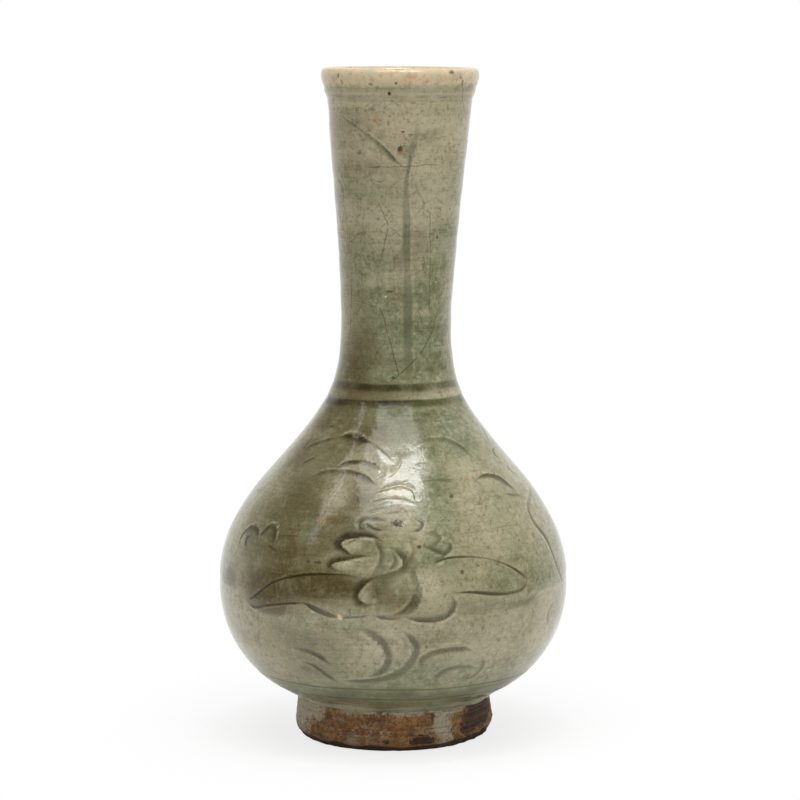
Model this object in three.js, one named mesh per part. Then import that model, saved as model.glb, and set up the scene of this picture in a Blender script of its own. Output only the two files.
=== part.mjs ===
// A celadon bottle vase, built the way a potter builds it: a turned foot, a lower bowl, an upper dome
// and a neck are thrown apart, luted together with slip, and dipped in glaze inside and out.
// Millimetres, +Z up. The vase stands on z = 0 with its foot centred on the origin; its front is -Y.

import * as THREE from "three";

// Driving sizes, all measured on the finished, glazed surface.

const vaseHeight = 270;
const bellyRadius = 70.5;
const bellyHeight = 63.5; // where the belly is widest
const shoulderRadius = 46;
const shoulderHeight = 113; // where the shoulder turns from round to hollow
const shoulderSlope = 49.5; // degrees above the horizontal
const waistRadius = 22.1;
const waistHeight = 168; // the narrowest place of the neck
const collarRadius = 29; // the neck just under the rim mouldings
const collarDrop = 13.5; // from the top of the rim down to the collar
const collarFlare = 4.6; // degrees from the vertical

// How far each round stretch holds on to its end tangent before it turns.
const undersideRise = 19; // degrees above the horizontal, where the underside leaves the foot
const undersideReach = 21;
const bellyReachBelow = 20.7;
const bellyReachAbove = 24.5;
const shoulderReachBelow = 9;
const shoulderReachAbove = 28.5;
const waistReachBelow = 25.7;
const waistReachAbove = 23;
const collarReach = 11;

// Rim: a small ridge, a groove above it, and a rolled lip.
const lipProud = 2.6; // the widest line of the lip stands this much outside the collar
const lipDrop = 4; // from the top down to that line
const lipBandHeight = 6.8;
const lipBandTaper = 0.7; // the band's foot stands this much inside its widest line
const lipGrooveDepth = 0.45; // under the band
const lipWidth = 5.2; // from the widest line to the mouth's inner edge
const lipInnerDrop = 3;
const ridgeProud = 1.2; // outside the collar
const ridgeDrop = 9.6; // from the top down to the ridge's crest
const ridgeHalfHeight = 1.5;

// Foot: turned from a thick pad, hollowed underneath and bevelled where it stands.
const footHeight = 18;
const footRadius = 40; // at its widest, above the bevel
const footTaper = 1.2; // how much less the radius is at the top of the foot
const footBevelHeight = 6.5;
const footBevelWidth = 5.4;
const footBevelRoundness = 0.75; // 0.5 would be a straight bevel and 1 a square corner
const footContactWidth = 3.4;
const footRecessDepth = 10;
const footRecessDraft = 1.6; // how much the recess narrows towards its ceiling
const footRecessFillet = 1.6;

// Clay walls, glaze and joints.
const bellyWall = 7;
const neckWall = 4.8;
const floorThickness = 5; // of the bowl itself, above the foot pad
const floorRadius = 27; // the flat of the floor, inside
const glazeThickness = 0.5;
const glazeGap = 0.3; // running clearance between a glaze coat and the clay that it covers
const slipThickness = 1;
const bellySeamHeight = 60.5;
const neckSeamHeight = 141.3;
const dipDepth = 12; // how far the outer coat runs down inside the mouth

// Two rings are carved either side of the neck's joint. Glaze pools in them.
const ringSpacing = 6.1;
const ringHalfWidth = 1.4;
const ringDepth = 0.7; // in the clay
const pooledShare = 0.45; // how much of that depth still shows through the glaze

// The neck was thrown a little off plumb: above this height the centre line leans towards +X.
const leanStart = 72;
const leanAngle = 1.24; // degrees
const leanBend = 20; // the height over which the lean sets in

// Facets round the vase, and steps along its outline.
const roundSides = 36;
const outsideSteps = { underside: 7, dome: 7, shoulder: 7, neck: 5 };
const insideSteps = { neck: 3, shoulder: 4, dome: 4, underside: 4 };
const outerCrownSteps = 3;
const innerCrownSteps = 2;
const bevelSteps = 3;
const searchSteps = 80; // along each stretch, to find the place of a ring

// The finished outline, as points of radius and height.

const radians = THREE.MathUtils.degToRad;
const point = (radius, height) => new THREE.Vector2(radius, height);

// A point that lies `reach` away from `from`, at `slope` degrees above the horizontal.
const along = (from, slope, reach) =>
  point(
    from.x + reach * Math.cos(radians(slope)),
    from.y + reach * Math.sin(radians(slope)),
  );

// The outside from the foot to the collar, in four round stretches.
function outsideCurves() {
  const foot = point(footRadius - footTaper, footHeight);
  const belly = point(bellyRadius, bellyHeight);
  const shoulder = point(shoulderRadius, shoulderHeight);
  const waist = point(waistRadius, waistHeight);
  const collar = point(collarRadius, vaseHeight - collarDrop);
  const up = 90;
  const inwardUp = 180 - shoulderSlope;
  return {
    underside: new THREE.CubicBezierCurve(
      foot,
      along(foot, undersideRise, undersideReach),
      along(belly, up, -bellyReachBelow),
      belly,
    ),
    dome: new THREE.CubicBezierCurve(
      belly,
      along(belly, up, bellyReachAbove),
      along(shoulder, inwardUp, -shoulderReachBelow),
      shoulder,
    ),
    shoulder: new THREE.CubicBezierCurve(
      shoulder,
      along(shoulder, inwardUp, shoulderReachAbove),
      along(waist, up, -waistReachBelow),
      waist,
    ),
    neck: new THREE.CubicBezierCurve(
      waist,
      along(waist, up, waistReachAbove),
      along(collar, up - collarFlare, -collarReach),
      collar,
    ),
  };
}

const curves = outsideCurves();

// The whole thickness from the outside to the inside, which thins towards the neck.
const wallAt = (height) =>
  THREE.MathUtils.mapLinear(
    THREE.MathUtils.clamp(height, bellyHeight, waistHeight),
    bellyHeight,
    waistHeight,
    bellyWall,
    neckWall,
  );

// A curve's point moved square to the curve by the wall, to its inner side.
function insidePoint(curve, t) {
  const at = curve.getPoint(t);
  const tangent = curve.getTangent(t);
  const wall = wallAt(at.y);
  return point(at.x - tangent.y * wall, at.y + tangent.x * wall);
}

// Ridge, groove and rolled lip, from the collar over the crown to the mouth's inner edge.
function rimPoints() {
  const ridge = vaseHeight - ridgeDrop;
  const bandFoot = vaseHeight - lipBandHeight;
  const widest = vaseHeight - lipDrop;
  const lipRadius = collarRadius + lipProud;
  const bandFootRadius = lipRadius - lipBandTaper;
  const crownRadius = lipRadius - lipWidth / 2;
  const outerCrown = new THREE.EllipseCurve(
    crownRadius, widest, lipWidth / 2, lipDrop, 0, Math.PI / 2,
  );
  const innerCrown = new THREE.EllipseCurve(
    crownRadius, vaseHeight - lipInnerDrop, lipWidth / 2, lipInnerDrop, Math.PI / 2, Math.PI,
  );
  return [
    point(collarRadius + ridgeProud / 2, ridge - ridgeHalfHeight),
    point(collarRadius + ridgeProud, ridge),
    point(bandFootRadius - lipGrooveDepth, bandFoot - lipGrooveDepth),
    point(bandFootRadius, bandFoot),
    ...outerCrown.getPoints(outerCrownSteps),
    ...innerCrown.getPoints(innerCrownSteps).slice(1),
  ];
}

// The finished surface in one run: up the outside, over the lip, and down the inside to the floor.
function finishedOutline() {
  const outside = Object.entries(outsideSteps).flatMap(([name, steps]) =>
    curves[name].getPoints(steps).slice(0, -1),
  );
  const inside = Object.entries(insideSteps).flatMap(([name, steps]) =>
    Array.from({ length: steps }, (_, i) => insidePoint(curves[name], 1 - i / steps)),
  );
  const floor = footHeight + floorThickness;
  const walls = inside.filter((p) => p.x > floorRadius || p.y > bellyHeight);
  return {
    outside: [...outside, curves.neck.v3, ...rimPoints()],
    inside: [...walls.filter((p) => p.y > floor), point(floorRadius, floor), point(0, floor)],
  };
}

// Stations: outline points with the direction towards the clay and the rings' depth.

const rings = [neckSeamHeight - ringSpacing / 2, neckSeamHeight + ringSpacing / 2];

// The place where a rising run of points passes a height.
function crossing(run, height) {
  const next = run.findIndex((p) => p.y > height);
  const a = run[next - 1];
  const b = run[next];
  return a.clone().lerp(b, (height - a.y) / (b.y - a.y));
}

// Outside points, with three stations at each carved ring in place of any that lie near it.
function withRings(run) {
  const fine = Object.values(curves).flatMap((curve) => curve.getPoints(searchSteps).slice(1));
  const kept = run.filter((p) => !rings.some((height) => Math.abs(p.y - height) < 2 * ringHalfWidth));
  const cut = rings.flatMap((height) =>
    [-1, 0, 1].map((side) => {
      const at = crossing(fine, height + side * ringHalfWidth);
      at.ringDepth = side === 0 ? ringDepth : 0;
      return at;
    }),
  );
  return [...kept, ...cut].sort((a, b) => a.y - b.y);
}

function makeStations() {
  const { outside, inside } = finishedOutline();
  const widest = vaseHeight - lipDrop;
  const rising = outside.filter((p) => p.y <= widest);
  const crown = outside.slice(rising.length);
  // The rim's points rise to its crown and fall behind it, so only the rising run is sorted by height.
  const run = [...withRings(rising), ...crown, ...inside];
  return run.map((p, i) => {
    const before = run[Math.max(i - 1, 0)];
    const after = run[Math.min(i + 1, run.length - 1)];
    const tangent = after.clone().sub(before).normalize();
    const onAxis = p.x === 0;
    return {
      at: p,
      inward: onAxis ? point(0, -1) : point(-tangent.y, tangent.x),
      ringDepth: p.ringDepth ?? 0,
      inside: i >= run.length - inside.length,
    };
  });
}

const stations = makeStations();

// A station's point sunk towards the clay, with the rings cut to a share of their depth.
const sunk = (station, depth, ringShare) =>
  station.at.clone().addScaledVector(station.inward, depth + ringShare * station.ringDepth);

// From here on, outlines become solids.

// How far the vase's centre line has leant by a height: it bends over leanBend, then runs straight.
function leanAt(height) {
  const above = Math.max(0, height - leanStart);
  const bent = Math.min(above, leanBend);
  return Math.tan(radians(leanAngle)) * ((bent * bent) / (2 * leanBend) + (above - bent));
}

// Turns a closed outline about the vase's centre line. It runs with the solid on its left.
function turned(outline) {
  const geometry = new THREE.LatheGeometry(outline, roundSides);
  geometry.rotateX(Math.PI / 2);
  const position = geometry.getAttribute("position");
  for (let i = 0; i < position.count; i++) {
    position.setX(i, position.getX(i) + leanAt(position.getZ(i)));
  }
  geometry.computeVertexNormals();
  return geometry;
}

const closed = (outline) => [...outline, outline[0].clone()];

// The clay's surface under both glaze coats.
const clayDepth = glazeThickness + glazeGap;
const clay = stations.map((station) => sunk(station, clayDepth, 1));
const crownIndex = clay.reduce((best, p, i) => (p.y > clay[best].y ? i : best), 0);
const clayOutside = clay.slice(0, crownIndex + 1);
const clayInside = clay.slice(crownIndex + 1).reverse(); // from the floor's centre up to the crown

// The stretch of a rising run between two heights, with its ends cut exactly there.
const between = (run, low, high) => [
  ...(low > run[0].y ? [crossing(run, low)] : []),
  ...run.filter((p) => p.y > low && p.y < high),
  ...(high < run[run.length - 1].y ? [crossing(run, high)] : []),
];

// A level slice of the clay wall.
const wallSlice = (low, high) =>
  closed([...between(clayOutside, low, high), ...between(clayInside, low, high).reverse()]);

function footPad() {
  const top = footHeight - slipThickness;
  const contactOuter = footRadius - footBevelWidth;
  const contactInner = contactOuter - footContactWidth;
  const recessRadius = contactInner - footRecessDraft;
  const bevel = new THREE.QuadraticBezierCurve(
    point(contactOuter, 0),
    point(
      contactOuter + footBevelWidth * footBevelRoundness,
      footBevelHeight * (1 - footBevelRoundness),
    ),
    point(footRadius, footBevelHeight),
  );
  return [
    point(0, footRecessDepth),
    point(recessRadius - footRecessFillet, footRecessDepth),
    point(recessRadius, footRecessDepth - footRecessFillet),
    point(contactInner, 0),
    ...bevel.getPoints(bevelSteps),
    point(footRadius - footTaper, top),
    point(0, top),
  ];
}

// Slip smeared between the foot pad and the bowl's flat base.
function footSlip() {
  const low = footHeight - slipThickness;
  const radius = clayOutside[0].x;
  return [point(0, low), point(radius, low), point(radius, footHeight), point(0, footHeight)];
}

function lowerBowl() {
  const top = bellySeamHeight - slipThickness / 2;
  const base = clayOutside[0].x;
  return [
    point(0, footHeight),
    point(base, footHeight),
    ...between(clayOutside, footHeight, top),
    ...between(clayInside, 0, top).reverse(),
  ];
}

const upperDome = () =>
  wallSlice(bellySeamHeight + slipThickness / 2, neckSeamHeight - slipThickness / 2);

const neckTube = () => wallSlice(neckSeamHeight + slipThickness / 2, Infinity);

const seamSlip = (height) => wallSlice(height - slipThickness / 2, height + slipThickness / 2);

// A glaze coat over a run of stations: its back on the clay, where it fills the rings, and its face.
function glazeCoat(run) {
  const back = run.map((station) => sunk(station, glazeThickness, 1)).reverse();
  const face = run.map((station) => sunk(station, 0, pooledShare));
  return [...back, ...face];
}

const coatsMeetAt = vaseHeight - dipDepth;
const meeting = stations.findIndex((station) => station.inside && station.at.y < coatsMeetAt);

// The station at the place where the two coats meet, lifted to the wanted height.
function meetingStation(height) {
  const above = stations[meeting - 1];
  const below = stations[meeting];
  const share = (height - above.at.y) / (below.at.y - above.at.y);
  return { ...below, at: above.at.clone().lerp(below.at, share) };
}

const outerGlaze = () =>
  closed(glazeCoat([...stations.slice(0, meeting), meetingStation(coatsMeetAt)]));

const innerGlaze = () => glazeCoat([meetingStation(coatsMeetAt - glazeGap), ...stations.slice(meeting)]);

// Materials and the assembly.

const bareFoot = new THREE.MeshStandardMaterial({ color: 0x8a6244, roughness: 0.85, metalness: 0 });
const stoneware = new THREE.MeshStandardMaterial({ color: 0xa39a8b, roughness: 0.8, metalness: 0 });
const slip = new THREE.MeshStandardMaterial({ color: 0xb9ae9c, roughness: 0.9, metalness: 0 });
const celadon = new THREE.MeshStandardMaterial({ color: 0x8e917b, roughness: 0.2, metalness: 0 });

const vase = new THREE.Group();
vase.name = "celadon_vase";

function add(name, outline, material) {
  const mesh = new THREE.Mesh(turned(outline), material);
  mesh.name = name;
  vase.add(mesh);
}

add("turned_foot", footPad(), bareFoot);
add("foot_slip", footSlip(), slip);
add("lower_bowl", lowerBowl(), stoneware);
add("belly_slip", seamSlip(bellySeamHeight), slip);
add("upper_dome", upperDome(), stoneware);
add("neck_slip", seamSlip(neckSeamHeight), slip);
add("neck_tube", neckTube(), stoneware);
add("inner_glaze", innerGlaze(), celadon);
add("outer_glaze", outerGlaze(), celadon);

export default vase;
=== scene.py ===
"""Celadon bottle vase: glaze coats, foot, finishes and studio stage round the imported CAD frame."""

import math

import bmesh
import bpy
import numpy as np
from bpy.props import FloatProperty, FloatVectorProperty, IntProperty, PointerProperty
from mathutils import Matrix, Quaternion, Vector
from mathutils.kdtree import KDTree


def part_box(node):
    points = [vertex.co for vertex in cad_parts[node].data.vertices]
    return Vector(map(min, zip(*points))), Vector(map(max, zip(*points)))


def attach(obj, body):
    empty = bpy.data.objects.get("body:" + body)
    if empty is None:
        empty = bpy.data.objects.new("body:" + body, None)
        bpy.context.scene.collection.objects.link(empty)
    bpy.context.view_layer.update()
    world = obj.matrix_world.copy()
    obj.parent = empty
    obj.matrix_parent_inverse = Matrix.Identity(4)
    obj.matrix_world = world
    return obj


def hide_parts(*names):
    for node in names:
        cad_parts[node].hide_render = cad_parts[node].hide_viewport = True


bl_info = {
    "name": "Celadon bottle vase",
    "version": (1, 0, 0),
    "blender": (4, 5, 0),
    "location": "View3D > Sidebar > Celadon vase",
    "description": "Carved and crackled celadon coats, a turned foot and a studio stage round the CAD vase",
    "category": "Object",
}

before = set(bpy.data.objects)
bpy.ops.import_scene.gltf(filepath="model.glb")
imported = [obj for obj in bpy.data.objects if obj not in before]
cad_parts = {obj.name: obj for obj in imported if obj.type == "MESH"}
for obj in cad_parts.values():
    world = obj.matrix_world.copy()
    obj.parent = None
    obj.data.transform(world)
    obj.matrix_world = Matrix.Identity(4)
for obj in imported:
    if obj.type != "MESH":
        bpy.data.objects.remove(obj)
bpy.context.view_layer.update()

MM = 0.001

# The form of the coat, in mm
LAP_POINTS = [(39.25, 16.2), (39.35, 17.0), (39.7, 17.75), (40.7, 18.3), (42.6, 19.2)]
RIM_POINTS = [
    (28.35, 251.2), (28.65, 254.4), (28.95, 256.6), (29.12, 257.7), (29.5, 258.8), (29.9, 259.8),
    (30.15, 260.7), (30.25, 261.6), (30.38, 262.5), (30.8, 263.3), (31.2, 264.5), (31.5, 265.7),
    (31.6, 266.9), (31.5, 268.1), (31.1, 269.1), (30.35, 269.75), (29.4, 270.0), (28.4, 269.8),
    (27.5, 269.15), (26.9, 268.0), (26.5, 266.6), (26.05, 264.0), (25.6, 261.0), (25.1, 258.6),
    (24.55, 257.5), (24.15, 256.8), (24.4, 256.0),
]
RIM_START = 248.0
NECK_RINGS = (138.25, 144.35)
FOOT_RINGS = (23.6, 29.0)
SEAM_HEIGHT = 60.5
SEAM_RISE = 5.8
LIP_GROOVES = (257.6, 262.5)

# The foot: the radius where its outer side begins, the worn side in degrees, and the mesh columns
FOOT_SIDE = 34.7
SCAR_SIDE = 62
FOOT_COLUMNS = 288
INNER_COLUMNS = 128

# The camera that a fit to the photograph's outline gave, and the point that the lamps face
CAMERA_PLACE = (0.0032, -1.3, 0.294)
CAMERA_LENS, CAMERA_SENSOR = 146.25, 36.0
CAMERA_DOWN, CAMERA_ROLL = 6.92, -0.35
STAGE_MIDDLE = (0.0, 0.0, 0.11)


class VaseSizes(bpy.types.PropertyGroup):
    """Sizes of what the hand adds to the thrown form."""
    coat: FloatProperty(name="Coat thickness", description="Thickness of the glaze coat",
                        default=0.00055, min=0.0003, max=0.0007, unit="LENGTH")
    carving: FloatProperty(name="Carving depth", description="Depth of the deepest carved stroke",
                           default=0.0002, min=0.0, max=0.0004, unit="LENGTH")
    ring_depth: FloatProperty(name="Ring depth", description="Depth of the two rings at the neck's foot",
                              default=0.00012, min=0.0, max=0.0007, unit="LENGTH")
    throwing: FloatProperty(name="Throwing wave", description="Height of the finger marks of throwing",
                            default=0.00005, min=0.0, max=0.0003, unit="LENGTH")
    throwing_pitch: FloatProperty(name="Throwing pitch", description="Lift of the wall in one turn",
                                  default=0.014, min=0.008, max=0.02, unit="LENGTH")
    mouth_drop: FloatProperty(name="Mouth drop", description="How much lower the right of the mouth is",
                              default=0.0007, min=0.0, max=0.0015, unit="LENGTH")
    body_columns: IntProperty(name="Body columns", description="Divisions round the body coat",
                              default=256, min=96, max=320)
    neck_columns: IntProperty(name="Neck columns", description="Divisions round the neck coat",
                              default=176, min=64, max=256)


class VaseColours(bpy.types.PropertyGroup):
    """Colours of the glaze and the clay."""
    celadon: FloatVectorProperty(name="Celadon", description="The glaze at its plain thickness",
                                 subtype="COLOR", default=(0.33, 0.302, 0.18))
    green: FloatVectorProperty(name="Green", description="Where the kiln kept the glaze green",
                               subtype="COLOR", default=(0.175, 0.2, 0.108))
    olive: FloatVectorProperty(name="Olive brown", description="Where the fire browned the glaze",
                               subtype="COLOR", default=(0.07, 0.051, 0.013))
    # The pale colour also paints the sheen on the flanks and the highlights along the lip's ridge and the
    # carved edges
    pale: FloatVectorProperty(name="Pale", description="Where the glaze is thin and buff",
                              subtype="COLOR", default=(0.475, 0.43, 0.295))
    pooled: FloatVectorProperty(name="Pooled green", description="Glaze that has run into carving",
                                subtype="COLOR", default=(0.062, 0.058, 0.022))
    pooled_brown: FloatVectorProperty(name="Pooled brown",
                                      description="Pooled glaze where the fire browned it",
                                      subtype="COLOR", default=(0.029, 0.023, 0.006))
    lip: FloatVectorProperty(name="Lip", description="Cream glaze on the lip",
                             subtype="COLOR", default=(0.66, 0.53, 0.34))
    stain: FloatVectorProperty(name="Crackle stain", description="Brown stain in the crackle",
                               subtype="COLOR", default=(0.055, 0.04, 0.014))
    rust: FloatVectorProperty(name="Rust", description="Orange stain from iron in the clay",
                              subtype="COLOR", default=(0.36, 0.2, 0.075))
    burnt: FloatVectorProperty(name="Burnt clay", description="Bare clay of the foot",
                               subtype="COLOR", default=(0.3, 0.132, 0.042))
    film: FloatVectorProperty(name="Glaze film", description="Thin grey glaze film on the clay",
                              subtype="COLOR", default=(0.37, 0.31, 0.215))
    # The dark clay also paints the shade on the bevel, which faces the floor, besides the scars, turning
    # lines and pits
    dark_clay_and_shade: FloatVectorProperty(name="Dark clay", description="Kiln scars and the worn bevel",
                                   subtype="COLOR", default=(0.034, 0.022, 0.014))


class VaseStage(bpy.types.PropertyGroup):
    """Lamps and backdrop."""
    key: FloatProperty(name="Key radiance", description="Brightness of the large softbox, where white is 1",
                       default=3.2, min=0.0, max=8.0)
    core: FloatProperty(name="Core radiance", description="Brightness of the tube behind the softbox",
                        default=10.0, min=0.0, max=20.0)
    fill: FloatProperty(name="Fill", description="Brightness of the room", default=0.65, min=0.0, max=1.0)
    floor: FloatVectorProperty(name="Floor", description="Colour of the floor and backdrop",
                               subtype="COLOR", default=(0.86, 0.86, 0.86))


# Curves and the thrown outline

def spline(at, values):
    """A natural cubic spline through the values at the given places, as a function."""
    at, values = np.asarray(at, float), np.asarray(values, float)
    gap, count = np.diff(at), len(at)
    matrix, right = np.eye(count), np.zeros(count)
    for i in range(1, count - 1):
        matrix[i, i - 1:i + 2] = gap[i - 1], 2 * (gap[i - 1] + gap[i]), gap[i]
        right[i] = 6 * ((values[i + 1] - values[i]) / gap[i] - (values[i] - values[i - 1]) / gap[i - 1])
    bend = np.linalg.solve(matrix, right)

    def curve(x):
        x = np.clip(x, at[0], at[-1])
        i = np.clip(np.searchsorted(at, x) - 1, 0, count - 2)
        a, b = (at[i + 1] - x) / gap[i], (x - at[i]) / gap[i]
        bent = (a**3 - a) * bend[i] + (b**3 - b) * bend[i + 1]
        return a * values[i] + b * values[i + 1] + bent * gap[i]**2 / 6
    return curve


def smooth_step(x):
    x = np.clip(x, 0, 1)
    return x * x * (3 - 2 * x)


def bump(x, reach):
    """1 at x = 0, falling smoothly to 0 at the reach."""
    return smooth_step(1 - np.abs(x) / reach)


def unevenness(points, wavelength, seed, waves=14):
    """A seeded field of soft lumps of about that wavelength, mostly between -1 and 1."""
    draw = np.random.default_rng(seed)
    facing = draw.normal(size=(waves, 3))
    facing /= np.linalg.norm(facing, axis=1)[:, None]
    pace = 2 * math.pi / (wavelength * draw.uniform(0.7, 1.4, waves))
    phase = points @ (facing * pace[:, None]).T + draw.uniform(0, 2 * math.pi, waves)
    return np.cos(phase).sum(1) / math.sqrt(waves / 2)


def read_stations(node, outward, top):
    """Height, radius and centre of each ring of points on one side of a turned CAD node, in mm."""
    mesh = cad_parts[node].data
    points, normals = np.empty(len(mesh.vertices) * 3), np.empty(len(mesh.polygons) * 3)
    corners = np.empty(len(mesh.loops), int)
    mesh.vertices.foreach_get("co", points)
    mesh.polygons.foreach_get("normal", normals)
    mesh.loops.foreach_get("vertex_index", corners)
    points, normals, corners = points.reshape(-1, 3) / MM, normals.reshape(-1, 3), corners.reshape(-1, 3)
    middle = points[corners].mean(1)
    facing = (normals[:, :2] * middle[:, :2]).sum(1) * outward
    used = points[np.unique(corners[facing > 0])]
    used = used[used[:, 2] < top]
    stations = []
    for height in np.unique(np.round(used[:, 2], 1)):
        ring = used[np.abs(used[:, 2] - height) < 0.06]
        centre = (ring[:, 0].max() + ring[:, 0].min()) / 2
        stations.append((ring[:, 2].mean(), np.hypot(ring[:, 0] - centre, ring[:, 1]).max(), centre))
    return stations


class Outline:
    """A turned outline through points (radius, height), measured by the distance along it."""

    def __init__(self, points):
        points = np.array(points, float)
        self.at = np.r_[0, np.cumsum(np.hypot(*np.diff(points, axis=0).T))]
        self.length = self.at[-1]
        self.radius, self.height = spline(self.at, points[:, 0]), spline(self.at, points[:, 1])

    def along(self, height, until=None):
        """The distance along the outline at which it first reaches a height."""
        tries = np.linspace(0, self.length if until is None else until, 6000)
        return np.interp(height, np.maximum.accumulate(self.height(tries)), tries)

    def place(self, along, angle, lift=0.0):
        """Points at a distance along and an angle from the front, lifted off the surface, before the lean."""
        step = 0.02
        turn_r = self.radius(along + step) - self.radius(along - step)
        turn_z = self.height(along + step) - self.height(along - step)
        size = np.hypot(turn_r, turn_z)
        radius = self.radius(along) + lift * turn_z / size
        height = self.height(along) - lift * turn_r / size
        return np.c_[radius * np.sin(angle), -radius * np.cos(angle), height]


def coat_outline():
    """The outer coat's face from its lap on the foot, up the vase and over the lip into the mouth."""
    stations = [s for s in read_stations("outer_glaze", 1, RIM_START)
                if s[0] > 21 and min(abs(s[0] - ring) for ring in NECK_RINGS) > 0.9]
    return Outline(LAP_POINTS + [(radius, height) for height, radius, _ in stations] + RIM_POINTS)


def lean_of():
    """How far the vase's centre line stands off plumb at a height."""
    stations = read_stations("outer_glaze", 1, RIM_START)
    heights = [s[0] for s in stations] + [275.0]
    slope = (stations[-1][2] - stations[-6][2]) / (stations[-1][0] - stations[-6][0])
    return spline(heights, [s[2] for s in stations] + [stations[-1][2] + slope * (275.0 - stations[-1][0])])


LEAN = lean_of()
COAT = coat_outline()

# How far along the outline a height is looked for, so that the way down into the mouth isn't found
BELOW_LIP = COAT.length - 30
LIP_SIDE = COAT.length - 28.4
OUTER_FACE = COAT.length - 16
# Where the close rows of the rim begin
RIM_FROM = COAT.length - 26.4

RING_ALONG = [float(COAT.along(h, BELOW_LIP)) for h in NECK_RINGS]
FOOT_RING_ALONG = [float(COAT.along(h, BELOW_LIP)) for h in FOOT_RINGS]
SEAM_ALONG = float(COAT.along(SEAM_HEIGHT, BELOW_LIP))
SEAM_TOP = SEAM_ALONG + 5.6
LIP_ALONG = [float(COAT.along(h, LIP_SIDE)) for h in LIP_GROOVES]


# Carving: each stroke is (width or widths along it, depth share, darkness, steep side,
# [(degrees from the front, height)], softness of its shallow side if that isn't 1)

LOTUS = {
    "left leaf, upper edge": ((1.0, 0.9, 0.7, 0.55), 0.5, 0.9, 1, [(-54, 62.5), (-49, 66), (-44, 70),
        (-37, 73.5), (-30, 75.5), (-22, 76.5), (-15.5, 76.5), (-10, 76)], 0.35),
    "left leaf, tip": ((0.9, 0.7, 0.9), 0.5, 0.8, -1, [(-53.8, 63.4), (-54.6, 61.8), (-53.2, 60.6),
        (-47.5, 61), (-38, 63.5), (-29, 65)], 0.35),
    "left leaf, fold": ((1.3, 2.2, 2.0), 0.9, 1.0, -1, [(-30, 65.2), (-25.5, 63), (-21.5, 61.3),
        (-17, 60)], 0.6),
    "left leaf, under": (0.8, 0.5, 0.7, -1, [(-17.5, 60), (-11.5, 60.5), (-6.5, 61.5)], 0.4),
    "heart curl": ((1.6, 2.5, 2.2, 1.3), 1.0, 0.85, 1, [(-5, 76), (-9, 74.2), (-11.3, 71.5), (-12, 69),
        (-11, 66.2), (-9, 65.3), (-6, 65.5)]),
    "first petal": ((1.0, 1.6, 1.7, 2.2, 1.6, 1.0), 1.0, 0.85, 1, [(-3, 88.5), (-6.5, 90.5), (-10.5, 91.2),
        (-15, 91), (-18.5, 90), (-19.7, 88), (-18, 86), (-14.5, 84), (-12, 83)]),
    "first petal, vein": (0.9, 0.5, 0.7, 1, [(-16.5, 87.5), (-14.5, 89), (-11, 90)]),
    "second petal": ((0.9, 1.5, 2.2, 1.6), 1.0, 0.85, 1, [(-6.5, 83.5), (-12, 83.7), (-17, 82.7),
        (-20.5, 81.5), (-21.5, 80), (-19.5, 78.5), (-17.5, 78)]),
    "centre petal, left": (1.9, 0.8, 0.65, -1, [(-7, 90.5), (-5, 88), (-3.5, 84.5), (-4, 81), (-6, 77.5),
        (-7, 75)]),
    "centre petal, right": (2.3, 0.9, 0.65, -1, [(-1, 87), (2, 85.5), (4.5, 82.5), (4.2, 79.5), (2, 77.5),
        (-1, 76.5), (-5.5, 75.5)]),
    "centre vein": (1.5, 0.6, 0.7, -1, [(-0.5, 85.5), (1, 82.5), (0, 79.5), (-2, 78)]),
    "right petal": (1.8, 0.8, 0.6, -1, [(6, 90), (7.2, 85.5), (6, 82), (4, 78.5)]),
    "stem band": (2.8, 0.8, 0.6, 1, [(8.5, 81), (6.5, 77.5), (7, 74.5), (8, 70), (7, 66.5), (5, 63),
        (3.5, 61)], 0.5),
    "lobe": ((1.8, 2.2, 2.0, 1.3), 1.0, 0.72, -1, [(3.5, 61), (7, 59.8), (11.5, 59.4), (16, 60.2),
        (18.7, 62.5), (19.5, 66), (18, 69)]),
    "lobe, inner": (1.7, 0.7, 0.5, -1, [(5.5, 73), (7, 69.5), (5.5, 65), (2, 61.8), (-2.5, 60.5)]),
    "heart, second fold": ((1.4, 2.4, 2.4, 1.4), 0.7, 0.42, -1, [(-5.6, 72.6), (-4.2, 69.1), (-4.2, 65.1),
        (-5.6, 61.0)]),
    "heart, third fold": ((1.2, 1.8, 1.8, 1.0), 0.6, 0.3, -1, [(1.2, 75), (2.6, 71), (2.6, 67),
        (0.6, 62.3)]),
    "lobe, foot": (1.2, 0.5, 0.7, -1, [(-6.5, 61.5), (-2.5, 60.5), (3.5, 60.5)]),
    "right leaf, upper edge": ((0.7, 0.55, 0.55, 1.1), 0.6, 0.85, 1, [(13.5, 80.5), (18, 82.3), (24, 82.5),
        (31, 81.5), (38, 79), (44.5, 75), (49, 71)], 0.3),
    "right leaf, lower edge": ((1.2, 1.6, 1.0, 0.6), 0.5, 0.8, 1, [(49, 71), (47.5, 68.5), (42.5, 67),
        (37.5, 67), (31, 68), (25, 69), (18, 69)], 0.5),
    "small petal, first": (1.7, 0.8, 0.7, 1, [(11, 91), (14, 91.6), (16.2, 90), (15, 88), (12, 87.3)]),
    "small petal, second": (1.7, 0.8, 0.7, 1, [(16.5, 87.6), (19.7, 87), (18.7, 85), (14, 86), (9.5, 87)]),
    "small petal, third": (1.4, 0.7, 0.65, 1, [(18.5, 85), (17, 83.3), (14.5, 81.5), (13.5, 80.5)]),
    "top curl, left": (1.7, 0.8, 0.8, 1, [(-3, 96), (-8.5, 97.2), (-12.7, 96), (-12.7, 94.5), (-11, 93.5)]),
    "top curl, inner": (1.4, 0.7, 0.7, 1, [(-10, 95.5), (-7.5, 93.5), (-3, 93)]),
    "top curl, right": (1.5, 0.7, 0.75, 1, [(8.5, 96.5), (10.7, 95), (9.2, 93), (6.5, 92.5)]),
    "bud": (1.8, 0.7, 1.0, 1, [(2, 95), (3, 95.8), (4, 95.2)]),
}
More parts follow.
